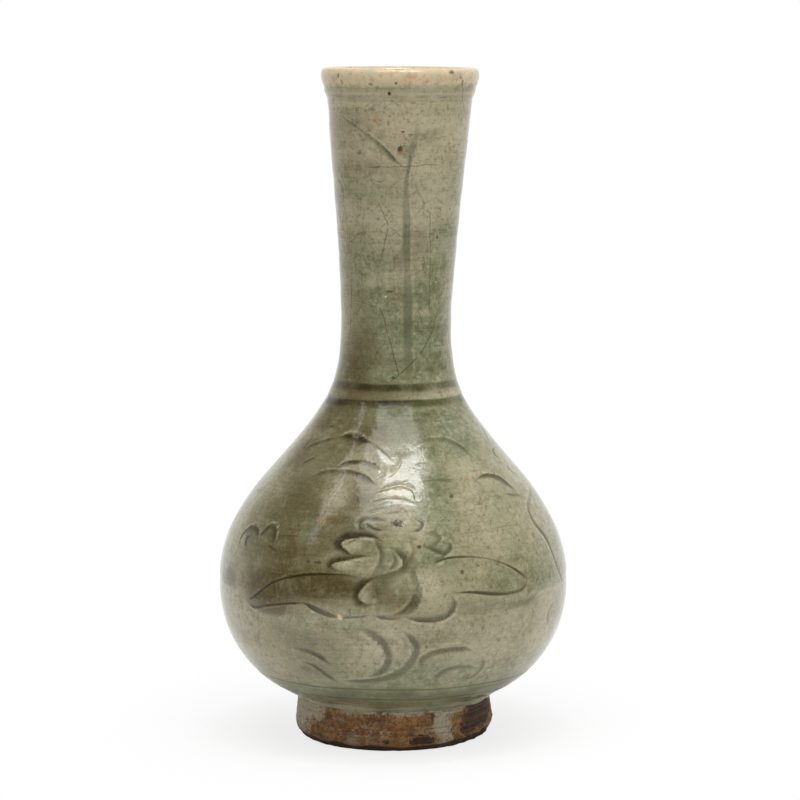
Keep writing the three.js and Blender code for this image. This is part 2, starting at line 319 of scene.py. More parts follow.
SCROLL = {
    "left curl, first": ((0.8, 1.3, 2.2, 2.6, 1.3), 0.9, 0.75, 1, [(-63.5, 81.5), (-66.5, 84.5), (-65, 87),
        (-59.5, 89.5), (-55.5, 87.5), (-54.5, 84.5)]),
    "left curl, second": ((1.3, 2.4, 2.4, 1.3), 0.9, 0.75, 1, [(-55, 87), (-52.5, 89), (-49.5, 91.3),
        (-46.5, 88.5), (-45.3, 84.5)]),
    "left curl, inner": (1.6, 0.5, 0.8, 1, [(-60, 82), (-61.5, 85), (-59.5, 87)]),
    "left tick": (0.9, 0.5, 0.7, 1, [(-48.5, 85), (-42.5, 83)]),
    "right edge scroll": (1.7, 0.8, 0.6, -1, [(80, 102), (74, 100), (67, 98), (63, 95.3), (62.3, 91),
        (66, 85), (68, 78), (70, 71), (76, 63.5)], 0.3),
    "right edge curl": (1.4, 0.7, 0.45, -1, [(67, 58.5), (62.5, 56.5), (61.7, 53), (66, 49)], 0.3),
    "low C, left": (3.0, 1.0, 0.62, -1, [(-11, 56), (-6.5, 54), (-3, 50), (-1.5, 45.5), (-2, 41), (-5, 37),
        (-8.5, 34.5)], 0.5),
    "low C, right": ((2.2, 3.2, 2.6, 1.4), 1.0, 0.62, -1, [(3, 55), (6, 52), (7.7, 48), (7, 44), (4.5, 39),
        (-0.5, 35.5), (-7.5, 33.5), (-19.5, 33)], 0.5),
    "low swirl, upper": (1.9, 0.7, 0.7, -1, [(-36.5, 46), (-31, 45.5), (-26.5, 44), (-22, 40)], 0.6),
    "low swirl, lower": (1.7, 0.7, 0.7, -1, [(-33, 40.5), (-29, 39), (-24.5, 35), (-21, 32)], 0.6),
    "low right curl": ((2.2, 2.4, 1.6), 0.9, 0.6, 1, [(10.5, 38.5), (9.3, 41.5), (11.5, 44.5), (17, 46.2),
        (21.5, 46.5), (28, 45)], 0.5),
    "low right curl, inner": (1.8, 0.7, 0.5, 1, [(15.5, 32.5), (17, 36.5), (19.5, 38), (25.5, 38.5),
        (32, 37)], 0.5),
    "low right tail": (1.6, 0.7, 0.5, 1, [(31.5, 42.5), (33, 38), (30.5, 33.5), (26.5, 32.5)], 0.5),
    "faint line, left": (0.6, 0.25, 0.35, 1, [(-46, 88.5), (-33, 89.5), (-20, 90)], 0.4),
    "faint line, right": (0.6, 0.25, 0.35, 1, [(21.5, 90.5), (36, 91.5), (51.5, 92)], 0.4),
}
SHOULDER = {
    "right low arc": ((0.6, 1.3, 0.8), 0.3, 0.6, 1, [(12, 109.6), (20, 110.2), (31, 108.2)], 0.4),
    "long scroll": (1.4, 0.6, 0.7, 1, [(-63, 118), (-56.5, 121), (-48.5, 123), (-37, 125)]),
    "long scroll, pressed": ((1.8, 2.8, 2.4, 1.6), 1.0, 0.95, 1, [(-39, 124.9), (-31, 125.3), (-24.5, 125),
        (-14.5, 123.5)]),
    "long scroll, tail": (1.6, 0.6, 0.55, 1, [(-16, 124), (-7, 120.5), (-1, 117)]),
    "tendril": (0.9, 0.5, 0.6, 1, [(-63, 126), (-61.5, 122), (-63, 118)]),
    "leaf edge": (1.0, 0.5, 0.6, 1, [(-54.5, 114), (-50.5, 116), (-46.5, 117.5)]),
    "leaf, upper": (2.1, 0.8, 0.7, 1, [(-30, 114.5), (-25, 116), (-17.5, 116.7), (-11, 115.5),
        (-4.5, 113)]),
    "leaf, lower": (2.0, 0.8, 0.65, 1, [(-44, 109.5), (-39.5, 111.2), (-34, 112.5), (-26, 113),
        (-18.5, 112.5), (-13.5, 111), (-8, 109)]),
    "right scroll": (1.9, 0.7, 0.6, 1, [(14, 123), (20, 124), (27.5, 124.3), (36, 123), (41.5, 121),
        (46, 117)]),
    "right leaf": (1.1, 0.5, 0.5, 1, [(10.5, 115.5), (15.5, 116), (21, 115.5)]),
    "right leaf, under": (1.2, 0.5, 0.5, 1, [(12, 112), (18, 111), (25, 110), (31, 110)]),
    "right curl": ((1.6, 2.2, 1.6), 0.9, 1.0, 1, [(40.5, 109), (44.5, 109.8), (51, 109.7), (56.5, 108),
        (59.2, 105.5), (61.5, 103)]),
    "right curl, under": (1.1, 0.6, 0.7, 1, [(52.5, 103.5), (56, 102), (64, 101)]),
    "edge arc, upper": (1.1, 0.6, 0.8, -1, [(80.5, 127.5), (78, 124), (70.5, 120)], 0.4),
    "edge arc, middle": (1.0, 0.6, 0.8, -1, [(75.5, 118.5), (68, 116.5), (70, 113.5)], 0.4),
    "edge arc, lower": (1.0, 0.6, 0.8, -1, [(75, 112), (71.5, 110.5), (73.5, 108), (76, 105)], 0.4),
    "smear": (1.4, 0.4, 0.5, 1, [(-52, 128), (-46, 129.5)]),
    "under the light, ridge": ((1.0, 1.4, 1.6, 1.2), 1.0, 0.1, -1, [(-10, 104.3), (-7.5, 106.6), (-3, 108),
        (2, 109), (6, 108.6), (8.5, 107), (9, 104)]),
    "under the light, fold": (1.4, 0.9, 0.25, 1, [(-12, 101.5), (-7, 103), (-1, 103.8), (5, 103.2),
        (9, 102)]),
    "under the light, crest": (1.2, 1.0, 0.1, -1, [(-11.5, 98.5), (-7.5, 100), (-2.5, 100.8)]),
    "under the light, drop": (1.6, 1.0, 0.15, 1, [(2, 101), (4.5, 99), (4.5, 97), (1, 96.3)]),
    "under the light, high": (1.2, 0.8, 0.1, -1, [(-2, 112), (1, 114.5), (3, 117), (2.5, 119.5)]),
    "under the light, side": (1.2, 0.8, 0.1, 1, [(-8, 111.5), (-5, 113.5), (-5.5, 116)]),
    "under the light, first": (1.2, 0.7, 0.5, 1, [(-7, 106.5), (-4, 108), (2.5, 109.5), (8, 110.5)]),
    "under the light, second": (1.1, 0.6, 0.45, 1, [(-8, 101), (-3.5, 102.5), (1, 103.5)]),
    "under the light, third": (1.1, 0.6, 0.45, 1, [(-4.5, 98.5), (1, 99), (8, 99.5)]),
}
STALK = {
    "stalk": ((0.4, 1.7, 2.6, 2.9, 3.1, 3.3, 3.4, 3.4), 0.7, 0.52, 1, [(11.2, 240.5), (8.7, 232),
        (6.7, 225.5), (6.7, 218), (8.1, 203), (10, 184), (11, 169), (12, 152), (12, 146)], 0.4),
    "stalk's tip": ((1.2, 2.0, 2.4, 2.4, 1.6), 0.5, 0.4, 1, [(14.5, 251), (14.2, 246), (10.8, 238.5),
        (8.5, 231), (7, 226)], 0.5),
    "stalk's side shoot": ((0.6, 1.0, 1.5, 1.3), 0.6, 0.66, 1, [(-54, 251.5), (-37, 247), (-20, 241.5),
        (-10, 237), (-2.5, 233.5), (4, 231.5)]),
    "second shoot": (1.6, 0.4, 0.4, 1, [(4, 196), (3, 186), (3.5, 178)]),
}


# Where the fire and the dipping left their marks, with a painted sheen among the pale ones, as
# (degrees from the front, height, reach across, reach up, amount)

BROWNED = [
    (-28, 38, 13, 8, 0.8), (-80, 56, 12, 5, 0.8), (-60, 140, 14, 22, 0.5), (-15, 226, 50, 9, 0.4),
    (-35, 246, 30, 9, 0.7), (-22, 129, 10, 9, 0.4), (-34, 48, 16, 9, 0.6), (-27, 37, 12, 6, 0.35),
    (-69, 70, 7, 5, 0.8), (-22, 73, 14, 5, 0.9), (-42, 63, 14, 5, 1.0), (-22, 50, 13, 8, 0.5),
    (-62, 122, 10, 14, 0.45), (-60, 136, 12, 8, 0.6), (-30, 244, 8, 8, 0.3), (-42, 78, 16, 10, 0.35),
    (-4, 74, 5, 6, 0.6), (-20, 47, 12, 6, 0.4), (-34, 45, 14, 7, 0.5), (-30, 168, 12, 12, 0.3),
    (-42, 54, 12, 4, 0.5), (-36, 158, 14, 10, 0.25), (-38, 44, 18, 9, 0.35), (-34, 84, 28, 19, 0.8),
    (-24, 71.5, 26, 6.5, 1.0), (-48, 68, 18, 8, 0.9), (-26, 125, 20, 12, 0.85), (-45, 104, 12, 14, 0.6),
    (-8, 92, 12, 10, 0.5), (-20, 104, 18, 12, 0.8), (-45, 150, 14, 14, 0.8), (-20, 141, 14, 6, 0.7),
    (-60, 88, 14, 14, 0.6), (5, 143, 14, 5, 0.5), (-50, 205, 9, 26, 0.3), (-40, 232, 12, 6, 0.6),
    (-15, 231, 12, 4, 0.5), (-35, 175, 8, 16, 0.4), (3, 66, 16, 6, 0.6), (30, 62, 20, 4, 0.45),
    (-72, 66, 10, 5, 0.7), (-60, 180, 8, 20, 0.35), (-62, 110, 12, 12, 0.3), (-12, 216, 10, 3, 0.4),
    (20, 128, 8, 6, 0.3), (52, 62, 14, 2.5, 0.6), (-40, 250, 10, 5, 0.3), (10, 152, 8, 6, 0.3),
]
PALED_AND_SHEEN = [
    (15, 257, 70, 4, 0.6), (-5, 214, 40, 5, 0.3), (-5, 199, 40, 5, 0.3), (-8, 49, 9, 4, 0.5),
    (58, 38, 10, 8, 0.5), (11, 74, 5, 4, 0.7), (-4, 61.5, 5, 3, 0.6), (-5, 240, 44, 20, 0.5),
    (15, 212, 28, 14, 0.42), (-19, 237, 9, 4, 0.8), (20, 200, 16, 12, 0.4), (-3, 54, 13, 6, 0.7),
    (13, 72, 8, 6, 0.8), (-24, 105, 9, 9, 0.85), (-19, 118, 6, 6, 0.6), (-12, 98, 5, 5, 0.5),
    (-15, 61, 8, 3, 0.5), (20, 240, 14, 16, 0.5), (34, 222, 12, 14, 0.45), (8, 212, 10, 6, 0.35),
    (-24, 226, 12, 4, 0.35), (36, 50, 16, 10, 0.45), (4, 50, 10, 8, 0.5), (20, 78, 16, 4, 0.35),
    (-62, 46, 16, 12, 0.8), (-8, 45, 12, 7, 0.6), (12, 66, 8, 6, 0.6), (38, 88, 16, 9, 0.55),
    (45, 112, 12, 8, 0.45), (30, 44, 18, 8, 0.5), (60, 50, 14, 12, 0.6), (-20, 246, 14, 8, 0.7),
    # The patch at 32 degrees and 104 mm is a painted sheen: the long pale band right of the softbox's
    # highlight
    (15, 250, 12, 6, 0.6), (-10, 205, 14, 8, 0.4), (5, 188, 12, 5, 0.35), (32, 104, 12, 13, 0.45),
    (25, 225, 10, 8, 0.4), (-9, 69, 2.2, 3.0, 0.9), (70, 82, 8, 14, 0.4), (-35, 240, 8, 6, 0.5),
    (50, 246, 8, 8, 0.6), (-13.5, 87.6, 5, 2.2, 0.95), (-16, 80.2, 5, 2.0, 0.95), (-6, 80, 3, 4, 0.6),
    (0.5, 81, 3, 3.5, 0.6), (30, 75, 14, 4, 0.3),
]
GREENED = [
    (35, 195, 32, 45, 0.15), (42, 216, 30, 24, 0.4), (-30, 222, 34, 6, 0.35), (20, 213, 30, 4, 0.3),
    (0, 79, 7, 10, 0.6), (-14, 100, 10, 16, 0.5), (-40, 118, 14, 10, 0.4), (10, 34, 44, 12, 0.6),
    (0, 24, 60, 6, 0.8), (44, 124, 20, 12, 0.6), (16, 124, 12, 14, 0.9), (22, 205, 12, 12, 0.45),
    (0, 166, 20, 18, 0.8), (40, 162, 14, 16, 0.9), (2, 238, 5, 5, 0.5), (-31, 93, 4.5, 5, 1.0),
    (60, 70, 20, 20, 0.4), (0, 253, 60, 3, 0.5), (0, 150, 40, 8, 0.7), (0, 134, 60, 5, 0.8),
    (-50, 95, 16, 20, 0.6), (18, 100, 8, 12, 0.9), (38, 72, 14, 10, 0.5), (14, 82, 12, 8, 0.4),
    (-36, 216, 10, 8, 0.4), (-34, 190, 12, 14, 0.4), (30, 185, 10, 12, 0.5), (6, 225, 5, 14, 0.5),
    (-8, 56, 20, 6, 0.4), (34, 50, 16, 6, 0.3),
]


def painted(points, patches, seed, count, share):
    """A soft mask of the placed patches, with seeded ones of the same kind round the back."""
    angle, radius = np.degrees(np.arctan2(points[:, 0], -points[:, 1])), np.hypot(points[:, 0], points[:, 1])
    draw = np.random.default_rng(seed)
    behind = [(draw.uniform(100, 260), draw.uniform(25, 245), draw.uniform(9, 24), draw.uniform(5, 15),
               share * draw.uniform(0.5, 1)) for _ in range(count)]
    clear = np.ones(len(points))
    for degrees, height, across, up, amount in patches + behind:
        turn = (angle - degrees + 180) % 360 - 180
        off = np.hypot(np.radians(turn) * radius / across, (points[:, 2] - height) / up)
        clear *= 1 - amount * bump(off, 1.6)
    return 1 - clear


class Stroke:
    """One carved stroke: points along it on the coat, with its direction, side and half width."""

    def __init__(self, width, depth, dark, steep, points, soft=1.0, turn=0, shift=0, seed=0):
        degrees, heights = np.array(points, float).T
        draw = np.random.default_rng(seed)
        if turn:
            heights = heights + shift + draw.uniform(-0.7, 0.7)
            degrees = degrees + draw.uniform(-0.8, 0.8)
        angles = np.radians(degrees + turn)
        raw = COAT.place(COAT.along(heights, BELOW_LIP), angles)
        run = np.r_[0, np.cumsum(np.linalg.norm(np.diff(raw, axis=0), axis=1))]
        count = max(8, int(run[-1] / 0.3))
        steps = np.linspace(0, run[-1], count)
        angle, height = spline(run, angles)(steps), spline(run, heights)(steps)
        along = COAT.along(height, BELOW_LIP)
        self.points = COAT.place(along, angle)
        normal = COAT.place(along, angle, 1.0) - self.points
        tangent = np.gradient(self.points, axis=0)
        self.tangent = tangent / np.linalg.norm(tangent, axis=1)[:, None]
        self.side = np.cross(self.tangent, normal) * steep
        from_end = np.minimum(steps, run[-1] - steps)
        press = 0.35 + 0.65 * smooth_step(from_end / min(6.0, max(1.5, run[-1] * 0.3)))
        press *= 1 + 0.14 * np.sin(steps / draw.uniform(3.5, 6) + draw.uniform(0, 6))
        width = np.atleast_1d(width)
        width = np.interp(steps / run[-1], np.linspace(0, 1, len(width)), width)
        self.half, self.press = 0.62 * width * press, press
        self.full = self.half * (0.45 + 1.5 * (1 - soft))
        self.tail = (2.9 * np.minimum(self.half, 1.35) + 0.3) * soft
        self.depth, self.dark = depth, dark
        self.shade = 1 + 0.16 * np.sin(steps / draw.uniform(5, 9) + draw.uniform(0, 6))


def strokes_on(groups, turns):
    """The strokes of the groups, once for each (turn in degrees, shift in height)."""
    made = []
    for turn, shift in turns:
        for group in groups:
            for number, stroke in enumerate(group.values()):
                made.append(Stroke(*stroke, turn=turn, shift=shift, seed=len(made) * 7 + number))
    return made


class Carving:
    """What a set of strokes does to points of the coat: how deep, how dark, and where an edge is pale, as
    thinner glaze with a painted highlight along it.
    """

    def __init__(self, strokes):
        self.strokes = strokes
        self.finder = KDTree(sum(len(s.points) for s in strokes))
        number = 0
        for stroke in strokes:
            for point in stroke.points:
                self.finder.insert(point, number)
                number += 1
        self.finder.balance()

    def near(self, point, reach):
        return self.finder.find(point)[2] < reach

    def at(self, points):
        depth, pool, thin = np.zeros(len(points)), np.zeros(len(points)), np.zeros(len(points))
        for stroke in self.strokes:
            reach = stroke.half.max() * 2.2 + 2.2
            low, high = stroke.points.min(0) - reach, stroke.points.max(0) + reach
            found = np.nonzero(((points > low) & (points < high)).all(1))[0]
            if not len(found):
                continue
            gap = np.linalg.norm(points[found, None, :] - stroke.points[None, :, :], axis=2)
            nearest = gap.argmin(1)
            off = points[found] - stroke.points[nearest]
            across = (off * stroke.side[nearest]).sum(1)
            past = (off * stroke.tangent[nearest]).sum(1)
            last = len(stroke.points) - 1
            past_end = ((nearest == 0) & (past < 0)) | ((nearest == last) & (past > 0))
            beyond = np.where(past_end, np.abs(past), 0)
            across = np.where(across < 0, -1, 1) * np.hypot(across, beyond)
            half = stroke.half[nearest]
            inside = across + half
            tail, full = stroke.tail[nearest], stroke.full[nearest]
            cut = smooth_step((inside + 0.2) / 0.55) * (1 - smooth_step((inside - full + 0.2 * half) / tail))
            colour = smooth_step((inside + 0.2) / 0.5) * (1 - smooth_step((inside - full) / tail))
            press = stroke.press[nearest]
            depth[found] = np.maximum(depth[found], cut * stroke.depth * press)
            colour = colour * stroke.dark * stroke.shade[nearest] * np.sqrt(press)
            pool[found] = np.maximum(pool[found], colour)
            # Pale edge on the steep side: thinner glaze on the raised edge, with a painted highlight along
            # the carved edge
            edge = smooth_step(1 + inside / 2.2) * smooth_step((-inside - 0.05) / 0.4) * (beyond < 0.3)
            thin[found] = np.maximum(thin[found], edge * stroke.depth * press)
        return depth, pool, thin


# Spun pieces

def rows_between(start, end, spacing, fine_places, fine_spacing=0.4, fine_reach=1.7):
    """Distances from start to end, close together near the fine places."""
    at, rows = start, [start]
    while at < end - 1e-6:
        gap = min([abs(at + fine_spacing - place) for place in fine_places] or [1e9])
        step = fine_spacing + (spacing - fine_spacing) * smooth_step((gap - fine_reach) / 3)
        at = min(end, at + step)
        rows.append(float(at))
    if rows[-1] - rows[-2] < fine_spacing * 0.6:
        rows.pop(-2)
    return rows


def spin_profile(profile, columns, closed=True):
    """A bmesh spun from (radius, height, distance along, inset) points, which keep the last two as layers."""
    bm = bmesh.new()
    along, inset, order = (bm.verts.layers.float.new(name) for name in ("along", "inset", "order"))
    ring = []
    for number, (radius, height, distance, depth) in enumerate(profile):
        vert = bm.verts.new((radius, 0, height))
        vert[along], vert[inset], vert[order] = distance, depth, number / len(profile)
        ring.append(vert)
    for a, b in zip(ring, ring[1:] + (ring[:1] if closed else [])):
        bm.edges.new((a, b))
    bmesh.ops.spin(bm, geom=bm.verts[:] + bm.edges[:], cent=(0, 0, 0), axis=(0, 0, 1), dvec=(0, 0, 0),
                   angle=2 * math.pi, steps=columns, use_merge=True)
    bmesh.ops.remove_doubles(bm, verts=bm.verts[:], dist=1e-4)
    bmesh.ops.recalc_face_normals(bm, faces=bm.faces[:])
    return bm


def refine(bm, carving, reach):
    """Divides the faces of the coat's face that lie near a stroke."""
    inset = bm.verts.layers.float["inset"]
    wanted = [face for face in bm.faces if all(v[inset] == 0 for v in face.verts)
              and carving.near(face.calc_center_median(), reach)]
    edges = list({edge for face in wanted for edge in face.edges})
    bmesh.ops.subdivide_edges(bm, edges=edges, cuts=1, use_grid_fill=True)
    ngons = [face for face in bm.faces if len(face.verts) > 4]
    bmesh.ops.triangulate(bm, faces=ngons)


def mesh_from(bm, name):
    """A mesh of that name made from the bmesh, which is freed, and the mesh's points."""
    mesh = bpy.data.meshes.new(name)
    bm.to_mesh(mesh)
    bm.free()
    points = np.empty(len(mesh.vertices) * 3)
    mesh.vertices.foreach_get("co", points)
    return mesh, points.reshape(-1, 3)


def layer(mesh, name):
    values = np.empty(len(mesh.vertices), np.float32)
    mesh.attributes[name].data.foreach_get("value", values)
    return values.astype(float)


def keep_mask(mesh, name, values):
    values = np.clip(values, 0, 1).astype(np.float32)
    mesh.attributes.new(name, "FLOAT", "POINT").data.foreach_set("value", values)


def unwrap(mesh, angle, order, columns, rows):
    """A cylinder unwrap for baked maps: the angle across and the order along the outline up."""
    loops, starts = np.empty(len(mesh.loops), int), np.empty(len(mesh.polygons), int)
    mesh.loops.foreach_get("vertex_index", loops)
    mesh.polygons.foreach_get("loop_start", starts)
    uv = np.c_[np.mod(angle / (2 * math.pi), 1), order][loops]
    sizes = np.diff(np.r_[starts, len(loops)])
    for axis in (0, 1):
        low = np.repeat(np.minimum.reduceat(uv[:, axis], starts), sizes)
        high = np.repeat(np.maximum.reduceat(uv[:, axis], starts), sizes)
        uv[:, axis] += (high - low > 0.5) & (uv[:, axis] < 0.5)
    uv /= (1 + 1.5 / columns, 1 + 1.5 / rows)
    mesh.uv_layers.new(name="OFBake").data.foreach_set("uv", uv.astype(np.float32).ravel())


def finish_piece(mesh, points, name, nodes, material):
    """Moves the points to their final places, in metres, gives the piece its material, hangs it under the
    root body and hides the CAD nodes it stands for.
    """
    mesh.vertices.foreach_set("co", (points * MM).astype(np.float32).ravel())
    for extra in ("along", "inset", "order"):
        if extra in mesh.attributes:
            mesh.attributes.remove(mesh.attributes[extra])
    mesh.update()
    mesh.shade_smooth()
    piece = bpy.data.objects.new(name, mesh)
    bpy.context.scene.collection.objects.link(piece)
    piece.data.materials.append(material)
    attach(piece, "root")
    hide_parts(*nodes)
    return piece


def leant(points, sizes):
    """Leans points with the vase and drops the right of its mouth."""
    points = points.copy()
    mouth = smooth_step((points[:, 2] - 225) / 37)
    drop = sizes.mouth_drop / MM * mouth * (points[:, 0] + 31.6) / 63.2
    points[:, 0] += LEAN(points[:, 2])
    points[:, 2] -= np.maximum(0, drop)
    return points


def ring_wave(angle):
    """How a hand-cut ring wavers with the angle, in mm."""
    return 0.3 * np.sin(angle + 0.7) + 0.14 * np.sin(3 * angle + 2.1) + 0.06 * np.sin(7 * angle + 0.4)


def build_coat(name, start, end, columns, spacing, strokes, reaches, sizes, material):
    """One closed shell of the outer coat between two distances along the outline."""
    places = RING_ALONG + FOOT_RING_ALONG + LIP_ALONG + [SEAM_ALONG, SEAM_TOP]
    fine = [a for a in places if start - 2 < a < end + 2]
    face = rows_between(start, end, spacing, fine, 0.45)
    if end > RIM_FROM:
        face = [a for a in face if a < RIM_FROM] + rows_between(RIM_FROM, end, 0.55, [])
    face = [start, start + 0.03] + face[1:-1] + [end - 0.03, end]
    thick = sizes.coat / MM
    back = rows_between(start, end, spacing * 6, [])[::-1]
    skin = [(a, 0.0) for a in face]
    skin += [(end, thick * 0.5)]
    skin += [(a, thick * (0.6 + 0.4 * float(smooth_step(a / 5))) if start == 0 else thick) for a in back]
    skin += [(start, thick * 0.35)]
    profile = []
    for distance, depth in skin:
        x, _, z = COAT.place(np.array([distance]), np.array([math.pi / 2]), -depth)[0]
        profile.append((x, z, distance, depth))
    bm = spin_profile(profile, columns)
    carving = Carving(strokes)
    for reach in reaches:
        refine(bm, carving, reach)
    mesh, raw = mesh_from(bm, name)
    angle = np.arctan2(raw[:, 0], -raw[:, 1])
    along, inset = layer(mesh, "along"), layer(mesh, "inset")
    drift = sum(bump(along - place, 5.0) * ring_wave(angle + turn)
                for turn, place in enumerate(RING_ALONG))
    drift = drift + sum(bump(along - place, 3.0) * 0.4 * ring_wave(angle + 2 + turn)
                        for turn, place in enumerate(FOOT_RING_ALONG))
    edge_wave = 0.35 * np.sin(angle + 1.9) + 0.22 * unevenness(raw * (1, 1, 0), 16, 5)
    edge_wave = edge_wave + 0.06 * unevenness(raw * (1, 1, 0), 5, 6)
    drift = drift + smooth_step(1 - along / 4) * (edge_wave + 0.25)
    flat = COAT.place(along, angle)
    depth, pool, thin = carving.at(flat)
    height = flat[:, 2]
    on_face = 1 - np.clip(inset / thick, 0, 1)
    neck = smooth_step((height - 140) / 15)
    phase = 2 * math.pi * (height / (sizes.throwing_pitch / MM) + angle / (2 * math.pi))
    wave = sizes.throwing / MM * (np.sin(phase + 0.5 * np.sin(angle + height / 31)) * (0.45 + 0.55 * neck)
                                  + 0.35 * np.sin(2.3 * phase + 1.3) * neck)
    wave = wave * smooth_step((height - 20) / 18) * smooth_step((262 - height) / 14)
    uneven = 0.10 * unevenness(flat, 34, 11) + 0.02 * unevenness(flat, 9, 12)
    uneven = uneven * smooth_step((height - 16) / 8)
    uneven = uneven * (1 - 0.6 * smooth_step((height - 255) / 6))
    lift = wave + uneven - 0.2 * bump(height - 63, 30)
    cut = np.zeros(len(flat))
    dark = pool.copy()
    for number, place in enumerate(RING_ALONG):
        gap = along - place
        shape = np.where(gap > 0, 1 - smooth_step(gap / 1.2), 1 - smooth_step(-gap / 2.6))
        cut = cut + sizes.ring_depth / MM * shape
        band = np.where(gap > 0, 1 - smooth_step((gap - 0.6) / 0.9), 1 - smooth_step((-gap - 0.8) / 3.0))
        dark = np.maximum(dark, (0.66 + 0.1 * unevenness(flat, 11, 33 + number)) * band)
        thin = np.maximum(thin, 0.25 * bump(gap - 2.4, 1.0))
    for number, place in enumerate(FOOT_RING_ALONG):
        gap = along - place
        cut = cut + 0.22 * bump(gap, 0.8) - 0.06 * bump(gap + 1.3, 0.8)
        dark = np.maximum(dark, 0.8 * bump(gap, 0.95))
        thin = np.maximum(thin, 0.35 * bump(gap + 1.6, 1.2))
    for place, share, reach in zip(LIP_ALONG, (0.3, 0.42), (2.4, 1.9)):
        gap = along - place
        cut = cut + 0.12 * bump(gap, 1.3)
        dark = np.maximum(dark, share * bump(gap, reach) * (0.8 + 0.2 * unevenness(flat, 7, 31)))
    # Painted highlight: the ridge under the lip is painted pale where the light catches it, as well as for
    # its thinner glaze
    thin = np.maximum(thin, 0.75 * bump(height - 260.4, 1.6) * (height > 258) * (along < RIM_FROM))
    side = np.abs(np.degrees(angle) + 3)
    rise = SEAM_RISE * smooth_step((side - 46) / 15) * smooth_step((140 - side) / 40)
    seam = along - SEAM_ALONG - rise
    left = smooth_step((np.abs(np.degrees(angle) + 100) - 25) / 50)
    cut = cut + 0.16 * (1 - smooth_step(seam / 1.1)) * smooth_step((seam + 9) / 8)
    line = np.where(seam > 0, bump(seam, 1.1 + 3.0 * rise / SEAM_RISE), bump(seam, 0.8))
    line = (0.72 - 0.3 * rise / SEAM_RISE - 0.36 * left) * line
    dark = np.maximum(dark, line * (0.7 + 0.3 * unevenness(flat, 14, 41)))
    dark = np.maximum(dark, 0.42 * smooth_step((36 - height) / 10) * (0.9 + 0.2 * unevenness(flat, 17, 45)))
    lap = 1 - smooth_step(along / 3.2)
    dark = np.maximum(dark, 0.25 * lap * (0.75 + 0.25 * unevenness(flat, 9, 43)))
    lift = lift - cut - sizes.carving / MM * depth * on_face - inset
    points = COAT.place(np.clip(along + drift, 0, COAT.length), angle, lift)
    start_low = along <= 1e-6
    points[start_low, 2] -= 0.25 * (inset[start_low] == 0)
    browned = painted(flat, BROWNED, 51, 16, 0.8)
    border = SEAM_HEIGHT - 1.2 + rise * 1.15
    below = smooth_step((border - height) / 1.4)
    browned = browned * (1 - 0.45 * below)
    paled = painted(flat, PALED_AND_SHEEN, 52, 18, 0.6)
    # Painted reflection: the flanks below the seam, which face the pale room at the sides, are painted pale
    # along with the paler glaze under the seam
    flank_pale_and_sheen = smooth_step((side - 44) / 22) * smooth_step((125 - side) / 30)
    flank_pale_and_sheen = flank_pale_and_sheen * below * smooth_step((height - 24) / 24)
    paled = np.maximum(paled, 0.85 * flank_pale_and_sheen)
    keep_mask(mesh, "pool", dark)
    keep_mask(mesh, "thin", thin)
    keep_mask(mesh, "browned", browned)
    keep_mask(mesh, "paled", paled)
    keep_mask(mesh, "greened", painted(flat, GREENED, 53, 14, 0.6))
    unwrap(mesh, angle, layer(mesh, "order"), columns, len(profile))
    return finish_piece(mesh, leant(points, sizes), name, ["outer_glaze"], material)


# Materials

class Bench:
    """Lays out nodes in one tree and joins them."""

    def __init__(self, tree):
        self.tree, self.count = tree, 0

    def put(self, kind, inputs=None, **settings):
        node = self.tree.nodes.new(kind)
        node.location = (self.count % 12 * 190, -(self.count // 12) * 260)
        self.count += 1
        for key, value in settings.items():
            setattr(node, key, value)
        for key, value in (inputs or {}).items():
            if isinstance(value, bpy.types.NodeSocket):
                self.tree.links.new(value, node.inputs[key])
            else:
                node.inputs[key].default_value = value
        return node

    def math(self, operation, *values, clamp=False):
        return self.put("ShaderNodeMath", dict(enumerate(values)), operation=operation,
                        use_clamp=clamp).outputs[0]

    def vector(self, operation, *values):
        return self.put("ShaderNodeVectorMath", dict(enumerate(values)), operation=operation).outputs[0]

    def scaled(self, vector, scale):
        return self.put("ShaderNodeVectorMath", {0: vector, 3: scale}, operation="SCALE").outputs[0]

    def mix(self, share, first, second):
        first, second = (tuple(c) + (1,) if not isinstance(c, bpy.types.NodeSocket) and len(c) == 3 else c
                         for c in (first, second))
        return self.put("ShaderNodeMix", {0: share, 6: first, 7: second}, data_type="RGBA").outputs[2]

    def ramp(self, value, low, high, to_low=0.0, to_high=1.0):
        return self.put("ShaderNodeMapRange", {0: value, 1: low, 2: high, 3: to_low, 4: to_high},
                        interpolation_type="SMOOTHSTEP").outputs[0]

    def centred(self, value, weight):
        """A value from 0 to 1, moved to lie round 0 and weighted."""
        return self.math("MULTIPLY", self.math("SUBTRACT", value, 0.5), weight)

    def total(self, *values):
        found = values[0]
        for value in values[1:]:
            found = self.math("ADD", found, value)
        return found

    def length(self, vector):
        return self.put("ShaderNodeVectorMath", {0: vector}, operation="LENGTH").outputs["Value"]

    def noise(self, vector, size, detail=2.0, roughness=0.5):
        """Noise with lumps of about that size in mm, from 0 to 1."""
        return self.put("ShaderNodeTexNoise", {"Vector": vector, "Scale": 1 / size, "Detail": detail,
                                               "Roughness": roughness}).outputs[0]

    def place(self):
        """The place on the piece, in mm."""
        return self.scaled(self.put("ShaderNodeTexCoord").outputs["Object"], 1 / MM)

    def mask(self, name):
        return self.put("ShaderNodeAttribute", attribute_name=name).outputs["Fac"]

    def group(self, name, **inputs):
        node = self.put("ShaderNodeGroup")
        node.node_tree = bpy.data.node_groups[name]
        for key, value in inputs.items():
            socket = node.inputs[key.replace("_", " ")]
            if isinstance(value, bpy.types.NodeSocket):
                self.tree.links.new(value, socket)
            else:
                socket.default_value = value
        return node.outputs


